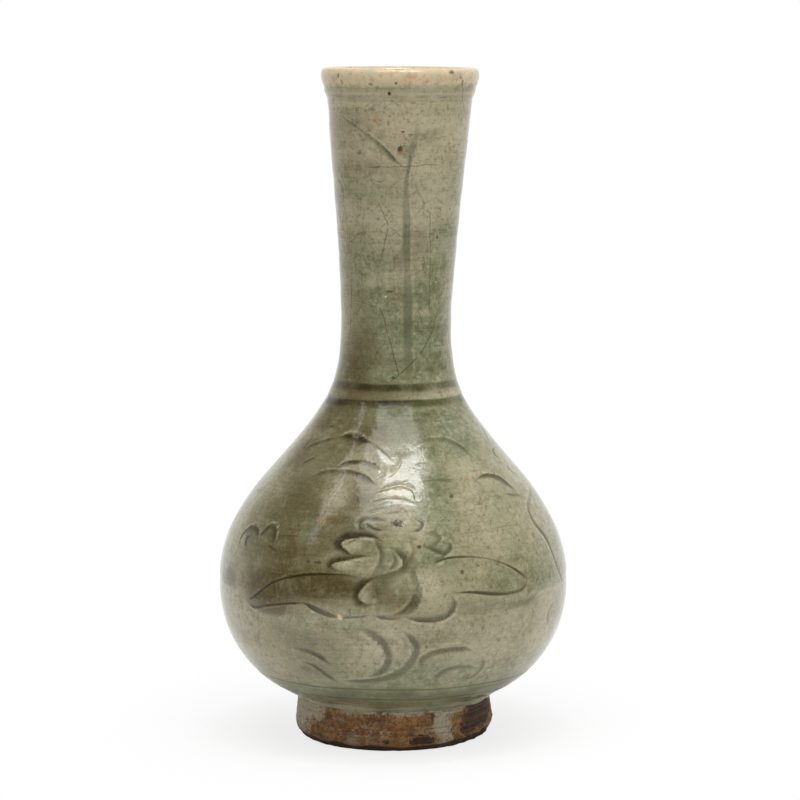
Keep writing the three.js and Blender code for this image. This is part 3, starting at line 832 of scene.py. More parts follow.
def new_group(name, inputs, outputs):
    """A shader group with named sockets: returns its bench, its inputs and the node to feed its outputs."""
    tree = bpy.data.node_groups.new(name, "ShaderNodeTree")
    kinds = {float: "NodeSocketFloat", tuple: "NodeSocketVector"}
    for label, default in inputs.items():
        socket = tree.interface.new_socket(label, in_out="INPUT", socket_type=kinds[type(default)])
        socket.default_value = default
    for label in outputs:
        tree.interface.new_socket(label, in_out="OUTPUT", socket_type="NodeSocketFloat")
    bench = Bench(tree)
    return bench, bench.put("NodeGroupInput").outputs, bench.put("NodeGroupOutput")


def build_groups():
    """The effects that several materials share."""
    # Fine cracks in the glaze, as a net of nearly straight lines, stronger in some places
    b, given, out = new_group("Crackle", {"Place": (0.0, 0.0, 0.0), "Size": 7.0, "Width": 0.16, "Bend": 0.8,
                                          "Low": 0.35}, ["Lines"])
    bend = b.put("ShaderNodeTexNoise", {"Vector": given["Place"], "Scale": 0.22, "Detail": 1.0})
    shake = b.put("ShaderNodeTexNoise", {"Vector": given["Place"], "Scale": 1.4, "Detail": 2.0})
    moved = given["Place"]
    for noise, share in ((bend, 2.5), (shake, 0.3)):
        push = b.vector("SUBTRACT", noise.outputs["Color"], (0.5, 0.5, 0.5))
        moved = b.vector("ADD", moved, b.scaled(push, b.math("MULTIPLY", given["Bend"], share)))
    cells = b.put("ShaderNodeTexVoronoi", {"Vector": moved, "Scale": b.math("DIVIDE", 1.0, given["Size"])},
                  feature="DISTANCE_TO_EDGE")
    gap = b.math("MULTIPLY", cells.outputs[0], given["Size"])
    line = b.math("SUBTRACT", 1.0, b.math("DIVIDE", gap, given["Width"]), clamp=True)
    fade = b.put("ShaderNodeTexNoise", {"Vector": given["Place"], "Scale": 0.16, "Detail": 3.0}).outputs[0]
    shown = b.ramp(fade, given["Low"], b.math("ADD", given["Low"], 0.3))
    b.tree.links.new(b.math("MULTIPLY", line, shown), out.inputs["Lines"])

    # A long single crack: the line where a plane cuts the surface, near a point
    b, given, out = new_group("Long crack", {"Place": (0.0, 0.0, 0.0), "Middle": (0.0, 0.0, 0.0),
                                             "Across": (1.0, 0.0, 0.0), "Reach": 10.0, "Width": 0.15,
                                             "Waver": 0.6}, ["Line"])
    off = b.vector("SUBTRACT", given["Place"], given["Middle"])
    side = b.put("ShaderNodeVectorMath", {0: off, 1: given["Across"]},
                 operation="DOT_PRODUCT").outputs["Value"]
    waver = b.put("ShaderNodeTexNoise", {"Vector": given["Place"], "Scale": 0.35, "Detail": 3.0}).outputs[0]
    side = b.math("ADD", side, b.centred(waver, b.math("MULTIPLY", given["Waver"], 3.0)))
    line = b.math("SUBTRACT", 1.2, b.math("DIVIDE", b.math("ABSOLUTE", side), given["Width"]), clamp=True)
    far = b.length(off)
    near = b.ramp(far, given["Reach"], b.math("MULTIPLY", given["Reach"], 0.8))
    b.tree.links.new(b.math("MULTIPLY", line, near), out.inputs["Line"])

    # Iron specks and pinholes, one in some of the cells of that size
    b, given, out = new_group("Specks", {"Place": (0.0, 0.0, 0.0), "Spacing": 9.0, "Radius": 0.3,
                                         "Share": 0.4}, ["Mask"])
    wobble = b.put("ShaderNodeTexNoise", {"Vector": given["Place"], "Scale": 2.2, "Detail": 2.0})
    moved = b.vector("ADD", given["Place"], b.scaled(b.vector("SUBTRACT", wobble.outputs["Color"],
                                                              (0.5, 0.5, 0.5)), 0.35))
    cells = b.put("ShaderNodeTexVoronoi", {"Vector": moved, "Scale": b.math("DIVIDE", 1.0, given["Spacing"])},
                  feature="F1")
    pick = b.put("ShaderNodeSeparateColor", {0: cells.outputs["Color"]}).outputs
    radius = b.math("MULTIPLY", given["Radius"], b.math("ADD", 0.4, pick[1]))
    gap = b.math("MULTIPLY", cells.outputs["Distance"], given["Spacing"])
    dot = b.math("SUBTRACT", 1.4, b.math("DIVIDE", gap, radius), clamp=True)
    chosen = b.math("LESS_THAN", pick[0], given["Share"])
    b.tree.links.new(b.math("MULTIPLY", dot, chosen), out.inputs["Mask"])

    # A soft-edged patch round a point, ragged by noise
    b, given, out = new_group("Patch", {"Place": (0.0, 0.0, 0.0), "Centre": (0.0, 0.0, 0.0),
                                        "Reach": (10.0, 10.0, 10.0), "Ragged": 0.3, "Grain": 6.0,
                                        "Soft": 0.5}, ["Mask"])
    off = b.vector("DIVIDE", b.vector("SUBTRACT", given["Place"], given["Centre"]), given["Reach"])
    far = b.length(off)
    grain = b.put("ShaderNodeTexNoise", {"Vector": given["Place"],
                                         "Scale": b.math("DIVIDE", 1.0, given["Grain"]),
                                         "Detail": 4.0, "Roughness": 0.6}).outputs[0]
    far = b.math("ADD", far, b.centred(grain, b.math("MULTIPLY", given["Ragged"], 4.0)))
    edge = b.ramp(far, b.math("ADD", 1.0, given["Soft"]), b.math("SUBTRACT", 1.0, given["Soft"]))
    b.tree.links.new(edge, out.inputs["Mask"])

    # Bands round the vase, as the finger and the tool leave them on the wheel
    b, given, out = new_group("Wheel bands", {"Place": (0.0, 0.0, 0.0), "Pitch": 14.0, "Waver": 0.3},
                              ["Bands"])
    waver = b.put("ShaderNodeTexNoise", {"Vector": given["Place"], "Scale": 0.05, "Detail": 2.0}).outputs[0]
    height = b.put("ShaderNodeSeparateXYZ", {0: given["Place"]}).outputs[2]
    turns = b.math("ADD", b.math("DIVIDE", height, given["Pitch"]), b.math("MULTIPLY", waver, given["Waver"]))
    flat = b.put("ShaderNodeCombineXYZ", {2: turns}).outputs[0]
    drawn = b.vector("MULTIPLY", given["Place"], (0.006, 0.006, 0.0))
    b.tree.links.new(b.put("ShaderNodeTexNoise", {"Vector": b.vector("ADD", flat, drawn), "Scale": 1.6,
                                                  "Detail": 3.0, "Roughness": 0.55}).outputs[0],
                     out.inputs["Bands"])


def new_material(name):
    material = bpy.data.materials.new(name)
    material.use_nodes = True
    material.node_tree.nodes.clear()
    bench = Bench(material.node_tree)
    out = bench.put("ShaderNodeOutputMaterial")
    return material, bench, out


def on_coat(degrees, height):
    """A place on the finished coat, in mm."""
    point = COAT.place(COAT.along(np.array([float(height)]), OUTER_FACE), np.radians([float(degrees)]))[0]
    return Vector((point[0] + float(LEAN(height)), point[1], point[2]))


# Long cracks on the neck: (from degrees, height, to degrees, height, width, strength)
LONG_CRACKS = [
    (47, 268, 68, 248, 0.25, 0.6), (-32, 231, 40, 232, 0.24, 0.5), (-17, 176, -8, 165, 0.26, 0.75),
    (-8, 165, 4, 148, 0.26, 0.75), (44, 168, 24, 156, 0.26, 0.8), (24, 156, -6, 146, 0.26, 0.7),
    (-52, 186, -58, 160, 0.26, 0.6), (30, 214, 34, 196, 0.24, 0.55), (34, 196, 36, 172, 0.24, 0.6),
    (-18, 218, -8, 208, 0.24, 0.6), (-8, 208, 6, 203, 0.24, 0.5), (-8, 208, -18, 192, 0.24, 0.6),
    (-60, 232, -54, 196, 0.22, 0.45), (-46, 178, -20, 176, 0.22, 0.5), (-30, 150, -10, 163, 0.22, 0.5),
    (130, 250, 156, 214, 0.24, 0.6), (170, 240, 176, 180, 0.24, 0.5), (-120, 236, -96, 190, 0.24, 0.6),
    (200, 205, 226, 160, 0.24, 0.6), (110, 190, 140, 160, 0.24, 0.6),
]
# Small marks: (degrees, height, reach across, reach up, raggedness, finish, strength)
MARKS = [
    (-21.8, 116.5, 1.8, 0.6, 0.9, "stain", 0.8), (-10.5, 116.5, 1.0, 0.6, 0.8, "stain", 0.8),
    (25, 104.5, 0.9, 0.9, 0.8, "stain", 0.7), (-25.5, 80.5, 1.5, 0.6, 0.9, "stain", 0.75),
    (-29, 80.5, 0.8, 0.5, 0.8, "stain", 0.7), (1.3, 62.5, 1.3, 3.2, 0.6, "rust", 0.22),
    (-33.5, 90, 2.2, 2.4, 0.7, "green", 0.5), (-50, 267, 0.5, 0.9, 0.5, "stain", 0.7),
    (40, 268, 1.2, 0.7, 0.6, "stain", 0.7), (46, 266.5, 3.0, 1.6, 0.8, "olive", 0.2),
    (30, 266, 3.2, 1.4, 0.8, "olive", 0.12), (-56, 265, 2.0, 2.0, 0.8, "rust", 0.3),
    (-47, 264.5, 0.5, 1.6, 0.4, "stain", 0.6), (-22, 263.6, 1.4, 0.5, 0.8, "stain", 0.5),
    (8, 266.5, 2.4, 0.9, 0.8, "rust", 0.35), (52, 264, 0.6, 1.0, 0.6, "stain", 0.6),
    (-3, 264, 0.6, 0.5, 0.4, "stain", 0.8), (-8, 260, 0.6, 0.9, 0.3, "stain", 1.0),
    (-18, 250, 1.0, 1.9, 0.6, "rust", 0.5), (1, 238, 1.0, 1.4, 0.5, "stain", 0.9),
    (2, 236.8, 0.6, 0.9, 0.4, "rust", 0.8), (-11, 180, 0.45, 0.4, 0.1, "lip", 1.0),
    (-6, 182, 1.6, 0.5, 0.4, "stain", 0.6), (3, 245, 0.8, 0.4, 0.4, "stain", 0.7),
    (-22, 254, 1.3, 0.9, 0.5, "stain", 0.45), (41, 203, 0.5, 0.7, 0.3, "stain", 0.7),
    (-2, 148, 0.6, 0.7, 0.3, "stain", 0.7), (-17, 60, 1.1, 1.1, 0.4, "lip", 0.9),
    (-27, 95.5, 2.2, 1.8, 0.8, "rust", 0.3), (36, 110, 1.6, 2.0, 0.5, "rust", 0.35),
    (23, 77, 0.7, 0.9, 0.3, "stain", 0.75), (9, 87, 0.8, 0.7, 0.4, "stain", 0.8),
    (39, 60, 0.5, 0.7, 0.3, "stain", 0.7), (49, 86, 0.4, 0.9, 0.3, "stain", 0.6),
    (1.5, 95.6, 2.2, 1.1, 0.8, "stain", 1.0), (150, 92, 0.8, 0.9, 0.4, "stain", 0.8),
    (205, 118, 1.8, 1.6, 0.5, "rust", 0.5), (120, 200, 0.7, 0.9, 0.4, "stain", 0.8),
]


def glaze_material(colours):
    """Crackled celadon: olive to grey-green, dark where it pools, cream at the lip."""
    material, b, out = new_material("Celadon glaze")
    place = b.place()
    z = b.put("ShaderNodeSeparateXYZ", {0: place}).outputs[2]
    pool, thin, browned, paled, greened = (
        b.mask(name) for name in ("pool", "thin", "browned", "paled", "greened"))
    cloud = b.noise(b.vector("MULTIPLY", place, (0.035, 0.035, 0.1)), 1.0, 4, 0.6)
    hand = b.noise(b.vector("MULTIPLY", place, (0.012, 0.012, 0.085)), 1.0, 2, 0.5)
    warmth = b.noise(b.vector("ADD", place, (13.0, 71.0, 29.0)), 13.0, 4, 0.62)
    drawn = b.noise(b.vector("MULTIPLY", place, (0.07, 0.07, 1.2)), 1.0, 3, 0.55)
    run = b.noise(b.vector("MULTIPLY", place, (1.25, 1.25, 0.06)), 1.0, 2, 0.5)
    clump = b.noise(place, 5.0, 4, 0.6)
    blot = b.noise(place, 2.2, 3, 0.6)
    grain = b.noise(place, 0.95, 3, 0.65)
    dust = b.noise(place, 0.5, 2, 0.6)
    centred, total = b.centred, b.total

    # The kiln's marks: browned, greened and thinner, pale places with ragged borders; the pale mask also
    # holds painted sheen on the flanks and beside the highlight
    neck = b.ramp(z, 118, 150)
    ragged = total(centred(cloud, 1.1), centred(clump, 0.45), centred(drawn, 0.2))
    green = b.ramp(total(greened, ragged, centred(warmth, 2.1)), -0.3, 1.05, 0.0, 0.95)
    brown = b.ramp(total(b.math("MULTIPLY", browned, 0.85), centred(cloud, 1.2), centred(clump, 0.9),
                         centred(blot, 0.6), b.math("MULTIPLY", neck, -0.1)), 0.12, 0.9, 0.0, 0.97)
    pale = b.ramp(total(paled, centred(clump, -0.9), centred(blot, -0.4)), 0.1, 1.0, 0.0, 0.75)
    base = b.mix(green, colours.celadon, colours.green)
    base = b.mix(brown, base, colours.olive)
    base = b.mix(pale, base, colours.pale)
    base = b.mix(b.ramp(z, 185, 255, 0.0, 0.2), base, colours.lip)
    # Light and dark in the coat: clouds, finger bands, wheel marks, runs and grain
    broad = total(centred(cloud, 1.7), b.math("MULTIPLY", centred(hand, 1.5), neck), centred(clump, 1.7))
    fine = total(centred(drawn, 0.9), centred(run, 0.35), centred(grain, 1.3), centred(blot, 2.0))
    deeper = b.mix(brown, b.mix(b.ramp(warmth, 0.4, 0.6), colours.olive, colours.pooled),
                   colours.pooled_brown)
    lighter = b.mix(brown, colours.pale, b.mix(0.35, colours.celadon, colours.olive))
    base = b.mix(b.ramp(broad, 0.1, -0.8, 0.0, 0.62), base, deeper)
    base = b.mix(b.ramp(broad, -0.05, 0.8, 0.0, 0.7), base, lighter)
    base = b.mix(b.ramp(fine, 0.1, -0.85, 0.0, 0.75), base, deeper)
    base = b.mix(b.ramp(fine, -0.05, 0.85, 0.0, 0.65), base, lighter)
    dots = b.math("MULTIPLY", b.ramp(dust, 0.42, 0.28), b.math("ADD", 0.02, b.math("MULTIPLY", brown, 0.7)))
    base = b.mix(dots, base, colours.stain)
    # Crackle: wide on the neck, a faint close net on the body
    wide = b.group("Crackle", Place=place, Size=9.0, Width=0.26, Bend=0.9, Low=0.15)["Lines"]
    close = b.group("Crackle", Place=b.vector("ADD", place, (41.0, 17.0, 5.0)), Size=4.6, Width=0.2, Bend=0.6,
                    Low=0.25)["Lines"]
    tinge = b.mix(0.3, colours.stain, colours.rust)
    shown = b.math("MULTIPLY", b.math("ADD", 0.25, b.math("MULTIPLY", neck, 0.22)),
                   b.ramp(z, 200, 250, 1.0, 0.5))
    base = b.mix(b.math("MULTIPLY", wide, shown), base, tinge)
    faint = b.math("SUBTRACT", 0.32, b.math("MULTIPLY", neck, 0.1))
    base = b.mix(b.math("MULTIPLY", close, faint), base, tinge)
    # Cream lip
    lip = b.ramp(total(z, centred(grain, 2.0), centred(clump, 2.0)), 262.2, 264.2)
    lip_tone = b.mix(b.ramp(clump, 0.42, 0.68, 0.0, 0.6), colours.lip, colours.pale)
    lip_tone = b.mix(b.ramp(total(clump, centred(blot, 1.2), centred(grain, 0.5)), 0.55, 0.2, 0.0, 0.6),
                     lip_tone, b.mix(0.6, colours.lip, colours.rust))
    lip_tone = b.mix(b.ramp(total(grain, centred(blot, 0.8)), 0.36, 0.2, 0.0, 0.75), lip_tone, colours.olive)
    base = b.mix(b.math("MULTIPLY", lip, 0.93), base, lip_tone)
    # Pale edges, as thinner glaze and painted highlight, and pooled carving
    edge = total(thin, centred(grain, 0.5), centred(blot, 0.5))
    base = b.mix(b.ramp(edge, 0.15, 1.1, 0.0, 0.7), base, colours.pale)
    pooled = b.mix(b.ramp(browned, 0.1, 0.6), colours.pooled, colours.pooled_brown)
    pooled = b.mix(b.ramp(z, 143, 150, 0.0, 0.85), pooled, tuple(0.5 * c for c in colours.green))
    depth = total(pool, centred(grain, 0.5), centred(blot, 0.5), centred(dust, 0.3), centred(run, 0.3))
    base = b.mix(b.ramp(depth, 0.1, 0.95, 0.0, 0.96), base, pooled)
    # Iron specks, long cracks and single marks
    specks = b.group("Specks", Place=place, Spacing=6.5, Radius=0.34, Share=0.4)["Mask"]
    base = b.mix(b.math("MULTIPLY", specks, 0.7), base, colours.stain)
    cracks = None
    for start, low, end, high, width, strength in LONG_CRACKS:
        first, last = on_coat(start, low), on_coat(end, high)
        middle = on_coat((start + end) / 2, (low + high) / 2)
        outward = Vector((middle.x - float(LEAN(middle.z)), middle.y, 0)).normalized()
        across = (last - first).cross(outward).normalized()
        line = b.group("Long crack", Place=place, Middle=middle, Across=across, Width=width,
                       Reach=(last - first).length / 2, Waver=0.5)["Line"]
        line = b.math("MULTIPLY", line, strength)
        cracks = line if cracks is None else b.math("MAXIMUM", cracks, line)
    base = b.mix(cracks, base, colours.stain)
    for degrees, height, across, up, rag, finish, strength in MARKS:
        mark = b.group("Patch", Place=place, Centre=on_coat(degrees, height), Reach=(across, across, up),
                       Ragged=rag, Grain=1.2, Soft=0.35)["Mask"]
        base = b.mix(b.math("MULTIPLY", mark, strength), base, getattr(colours, finish))

    swell = b.noise(place, 5.0, 2, 0.5)
    height = total(centred(swell, 1.0), centred(grain, 0.05), centred(clump, 0.4))
    height = b.math("SUBTRACT", height, b.math("MULTIPLY", wide, 0.05))
    height = b.math("SUBTRACT", height, b.math("MULTIPLY", specks, 0.1))
    normal = b.put("ShaderNodeBump", {"Strength": 1.0, "Distance": 0.00012, "Height": height}).outputs[0]
    rough = b.math("ADD", b.ramp(grain, 0.3, 0.7, 0.08, 0.16), b.math("MULTIPLY", specks, 0.3))
    shader = b.put("ShaderNodeBsdfPrincipled", {"Base Color": base, "Roughness": rough, "IOR": 1.5,
                                                "Normal": normal})
    b.tree.links.new(shader.outputs[0], out.inputs[0])
    return material


def clay_material(name, tone, grit):
    """Fired stoneware or slip, matt, with grit and wheel marks."""
    material, b, out = new_material(name)
    place = b.place()
    grain = b.noise(place, 1.6, 5, 0.65)
    bands = b.group("Wheel bands", Place=place, Pitch=2.4, Waver=0.4)["Bands"]
    dark = tuple(0.6 * c for c in tone)
    pale = tuple(min(1.0, 1.25 * c) for c in tone)
    base = b.mix(b.ramp(grain, 0.3, 0.7), dark, pale)
    base = b.mix(b.ramp(bands, 0.4, 0.7, 0.0, 0.4), base, tone)
    height = b.math("ADD", b.math("MULTIPLY", grain, grit), b.math("MULTIPLY", bands, 0.6))
    normal = b.put("ShaderNodeBump", {"Strength": 0.6, "Distance": 0.0003, "Height": height}).outputs[0]
    shader = b.put("ShaderNodeBsdfPrincipled", {"Base Color": base, "Normal": normal,
                                                "Roughness": b.ramp(grain, 0.2, 0.8, 0.7, 0.9)})
    b.tree.links.new(shader.outputs[0], out.inputs[0])
    return material


# The foot's marks: (degrees from the front, height, reach across, reach up, amount)
FOOT_DARK = [
    (55, 11.0, 9.0, 6.6, 1.0), (68, 13, 11, 6.5, 1.0), (47, 7, 4, 3.0, 0.8), (17, 5, 7.5, 2.4, 1.0),
    (-41, 9.5, 1.6, 2.2, 0.6), (-14, 11, 2.2, 2.0, 0.55), (0, 11.5, 2.0, 1.4, 0.5), (15, 11, 2.0, 1.6, 0.5),
    (-5, 4.6, 3.0, 1.2, 0.6), (-32, 6, 3.4, 1.0, 0.5), (130, 9, 14, 4, 0.9), (205, 12, 9, 5, 0.9),
    (250, 6, 12, 3, 0.9),
]
FOOT_FILM = [
    (29, 10, 4.6, 9.5, 1.0), (33, 5, 3.2, 4.0, 0.9), (-74, 11, 12, 9, 1.0), (-56, 15, 9, 5, 0.9),
    (-12, 8.5, 9, 3.5, 0.3), (40, 16, 8, 2.2, 0.9), (-20, 15.8, 12, 1.6, 0.6), (10, 16, 16, 1.6, 0.6),
    (56, 17.2, 5, 1.2, 0.9), (110, 14, 10, 4, 0.8), (170, 15, 16, 2.5, 0.8), (235, 15, 14, 4, 0.7),
]


def foot_material(colours):
    """Burnt bare clay with turning lines, dark scars and a thin grey film of glaze."""
    material, b, out = new_material("Burnt foot clay")
    place = b.place()
    scar, film_mask, bevel = b.mask("scar"), b.mask("film"), b.mask("bevel")
    grain = b.noise(place, 1.0, 4, 0.7)
    clump = b.noise(place, 4.0, 4, 0.65)
    dust = b.noise(place, 0.45, 2, 0.7)
    lines = b.group("Wheel bands", Place=place, Pitch=0.9, Waver=0.5)["Bands"]
    broad = b.group("Wheel bands", Place=place, Pitch=3.5, Waver=0.8)["Bands"]
    centred = b.centred

    burnt_deep = tuple(0.36 * c for c in colours.burnt)
    patch = b.noise(b.vector("MULTIPLY", place, (0.09, 0.09, 0.22)), 1.0, 4, 0.65)
    fired = b.ramp(b.math("ADD", centred(clump, 1.5), centred(broad, 1.0)), -0.25, 0.3)
    base = b.mix(fired, burnt_deep, colours.burnt)
    base = b.mix(b.ramp(patch, 0.5, 0.68, 0.0, 0.7), base, colours.rust)
    ashy = b.ramp(b.math("ADD", centred(grain, 0.7), centred(patch, -2.6)), -0.05, 0.5, 0.0, 0.5)
    base = b.mix(ashy, base, colours.film)
    film = b.math("ADD", film_mask, b.math("ADD", centred(clump, 1.8), centred(grain, 1.0)))
    film = b.ramp(film, 0.2, 0.75, 0.0, 0.95)
    base = b.mix(film, base, b.mix(b.ramp(grain, 0.35, 0.65), colours.film, colours.pale))
    base = b.mix(b.ramp(lines, 0.47, 0.3, 0.0, 0.6), base, colours.dark_clay_and_shade)
    base = b.mix(b.ramp(dust, 0.42, 0.3, 0.0, 0.6), base, colours.dark_clay_and_shade)
    base = b.mix(b.ramp(b.math("ADD", dust, centred(grain, 0.6)), 0.6, 0.78, 0.0, 0.4), base, colours.pale)
    pits = b.math("MULTIPLY", b.ramp(b.noise(place, 1.3, 3, 0.75), 0.46, 0.36), b.ramp(clump, 0.4, 0.58))
    base = b.mix(b.math("MULTIPLY", pits, 0.85), base, colours.dark_clay_and_shade)
    edge = b.math("ADD", scar, b.math("ADD", centred(clump, 1.4), centred(grain, 1.3)))
    dark = b.ramp(edge, 0.36, 0.56, 0.0, 0.94)
    rim = b.math("SUBTRACT", b.ramp(edge, 0.14, 0.36), b.ramp(edge, 0.38, 0.56))
    base = b.mix(b.math("MULTIPLY", rim, 0.6), base, colours.rust)
    scraped = b.mix(0.6, colours.dark_clay_and_shade, burnt_deep)
    scraped = b.mix(b.ramp(grain, 0.45, 0.65, 0.0, 0.6), scraped, colours.burnt)
    base = b.mix(dark, base, b.mix(b.ramp(lines, 0.44, 0.62), colours.dark_clay_and_shade, scraped))
    # The bevel is darkened as burnt, worn clay and as painted shade, since it faces the floor
    worn = b.ramp(b.math("ADD", bevel, centred(clump, 0.5)), 0.35, 0.75, 0.0, 0.9)
    base = b.mix(worn, base, b.mix(b.ramp(grain, 0.4, 0.7, 0.0, 0.5), colours.dark_clay_and_shade, burnt_deep))
    height = b.math("ADD", b.math("MULTIPLY", grain, 0.6), b.math("MULTIPLY", lines, 0.8))
    height = b.math("ADD", height, b.math("MULTIPLY", dust, 0.3))
    normal = b.put("ShaderNodeBump", {"Strength": 1.0, "Distance": 0.0005, "Height": height}).outputs[0]
    rough = b.ramp(b.math("SUBTRACT", grain, b.math("MULTIPLY", film, 0.3)), 0.1, 0.7, 0.42, 0.8)
    shader = b.put("ShaderNodeBsdfPrincipled", {"Base Color": base, "Roughness": rough, "Normal": normal,
                                                "Specular IOR Level": 0.3})
    b.tree.links.new(shader.outputs[0], out.inputs[0])
    return material


# Operators

class VASE_OT_groups(bpy.types.Operator):
    """Build the shader groups that the finishes share"""
    bl_idname = "vase.groups"
    bl_label = "Shared effects"

    def execute(self, context):
        build_groups()
        return {"FINISHED"}


class VASE_OT_outer_coat(bpy.types.Operator):
    """Build the outer glaze: one shell for the carved body and one for the neck and lip"""
    bl_idname = "vase.outer_coat"
    bl_label = "Outer glaze"

    def execute(self, context):
        sizes, colours = context.scene.vase_sizes, context.scene.vase_colours
        material = glaze_material(colours)
        carved = strokes_on([LOTUS, SCROLL, SHOULDER], [(0, 0), (180, -1)])
        build_coat("body_glaze", 0.0, RING_ALONG[0], sizes.body_columns, 1.7, carved, (2.0, 1.0), sizes,
                   material)
        neck = strokes_on([STALK], [(0, 0), (180, -2)])
        build_coat("neck_glaze", RING_ALONG[0], COAT.length, sizes.neck_columns, 1.2, neck, (2.2, 1.3), sizes,
                   material)
        return {"FINISHED"}


class VASE_OT_inner_coat(bpy.types.Operator):
    """Build the glaze poured into the vase"""
    bl_idname = "vase.inner_coat"
    bl_label = "Inner glaze"

    def execute(self, context):
        sizes = context.scene.vase_sizes
        stations = [s for s in read_stations("inner_glaze", -1, 257.8) if s[1] > 1 and s[0] > 25]
        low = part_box("inner_glaze")[0].z / MM
        points = [(0.0, low + 0.5), (9.0, low + 0.5), (18.0, low + 0.6), (27.0, low + 1.0),
                  (38.0, low + 3.4)]
        points += [(radius, height) for height, radius, _ in stations if height < 257.2]
        points += [(24.34, 257.4)]
        outline = Outline(points)
        face = rows_between(0.0, outline.length, 3.0, [])
        profile = []
        for distance, depth in [(a, 0.0) for a in face] + [(a, -0.5) for a in face[::-2]] + [(0.0, -0.5)]:
            x, _, z = outline.place(np.array([distance]), np.array([math.pi / 2]), -depth)[0]
            profile.append((max(0.0, x), z, distance, depth))
        profile[0] = (0.0,) + profile[0][1:]
        profile[-1] = (0.0,) + profile[-1][1:]
        bm = spin_profile(profile, INNER_COLUMNS, closed=False)
        mesh, raw = mesh_from(bm, "inner_coat")
        unwrap(mesh, np.arctan2(raw[:, 0], -raw[:, 1]), layer(mesh, "order"), INNER_COLUMNS,
               len(profile))
        keep_mask(mesh, "pool", smooth_step((26 - raw[:, 2]) / 3) * 0.3)
        for mask in ("thin", "browned", "paled", "greened"):
            keep_mask(mesh, mask, raw[:, 2] * 0)
        finish_piece(mesh, leant(raw, sizes), "inner_coat", ["inner_glaze"],
                     bpy.data.materials["Celadon glaze"])
        return {"FINISHED"}


class VASE_OT_foot(bpy.types.Operator):
    """Build the turned bare foot with its bevel and recess"""
    bl_idname = "vase.foot"
    bl_label = "Foot"

    def execute(self, context):
        colours = context.scene.vase_colours
        outline = [(0.0, 17.0), (12.0, 17.0), (24.0, 17.0), (33.0, 17.0), (38.3, 17.0), (38.8, 16.8)]
        side = [(38.8 + 1.2 * t, 16.8 - 10.3 * t) for t in np.linspace(0.03, 1, 34)]
        bevel = [(40.0 - 5.4 * (1 - math.cos(t)) ** 0.9, 6.5 - 6.5 * math.sin(t))
                 for t in np.linspace(0.12, 1.5, 14)]
        contact = [(34.4, 0.0), (33.6, 0.0), (32.6, 0.0), (31.6, 0.0), (31.1, 0.15)]
        wall = [(31.0 - 1.4 * t, 0.4 + 8.0 * t) for t in np.linspace(0, 1, 12)]
        recess = [(29.2, 9.2), (28.4, 9.8)]
        recess += [(27.6 * (1 - t), 10.0 + 0.5 * t) for t in np.linspace(0, 1, 32)]
        points = outline + side + bevel + contact + wall + recess
        profile = [(r, z, float(i), 0.0) for i, (r, z) in enumerate(points)]
        bm = spin_profile(profile, FOOT_COLUMNS, closed=False)
        mesh, raw = mesh_from(bm, "foot_ring")
        angle, radius = np.arctan2(raw[:, 0], -raw[:, 1]), np.hypot(raw[:, 0], raw[:, 1])
        draw = np.random.default_rng(3)
        cut = np.zeros(len(raw))
        for height in np.arange(7.5, 16.5, 1.05):
            place = height + draw.uniform(-0.3, 0.3) + 0.15 * np.sin(angle + draw.uniform(0, 6))
            cut += draw.uniform(0.03, 0.1) * bump(raw[:, 2] - place, draw.uniform(0.35, 0.7))
        under = (raw[:, 2] > 9) & (raw[:, 2] < 11)
        for reach in np.arange(3.0, 27.0, 2.6):
            cut -= 0.12 * bump(radius - reach - draw.uniform(-0.3, 0.3) - angle * 0.4, 1.0) * under
        grooved = bump(np.degrees(angle) - SCAR_SIDE, 30) * smooth_step((raw[:, 2] - 4) / 3)
        cut += 0.3 * grooved * (0.5 + 0.5 * np.sin(2 * math.pi * raw[:, 2] / 1.25 + 0.6 * np.sin(3 * angle)))
        rough = 0.10 * unevenness(raw, 6, 21) + 0.07 * unevenness(raw, 2.2, 22)
        outer = (radius > 36) | ((raw[:, 2] < 6) & (radius > FOOT_SIDE))
        inward = np.where(outer, cut + 0.12 + rough, 0)
        chip = bump(np.degrees(angle) - SCAR_SIDE, 34) * (0.8 + 0.5 * unevenness(raw, 7, 23))
        worn = np.clip(chip, 0, 2) * smooth_step((9 - raw[:, 2]) / 6)
        inward = inward + worn * (radius > FOOT_SIDE) * 0.9
        flat = raw.copy()
        scale = 1 - inward / np.maximum(radius, 1)
        flat[:, 0] *= scale
        flat[:, 1] *= scale
        flat[under, 2] += -cut[under]
        side_face = (radius > FOOT_SIDE) * (raw[:, 2] < 16.9)
        keep_mask(mesh, "scar", painted(raw, FOOT_DARK, 61, 0, 0) * side_face)
        keep_mask(mesh, "film", painted(raw, FOOT_FILM, 62, 0, 0) * side_face)
        # The bevel's mask, for its darkening: burnt, worn clay and painted shade under the turned-in edge
        bevel_top = 2.6 + 0.4 * unevenness(raw * (1, 1, 0), 12, 25)
        bevel_top = bevel_top + 1.6 * bump(np.degrees(angle) - SCAR_SIDE, 40)
        keep_mask(mesh, "bevel", smooth_step((bevel_top + 0.8 - raw[:, 2]) / 1.6) * (radius > 31.3))
        unwrap(mesh, angle, layer(mesh, "order"), FOOT_COLUMNS, len(profile))
        finish_piece(mesh, flat, "foot_ring", ["turned_foot"], foot_material(colours))
        return {"FINISHED"}


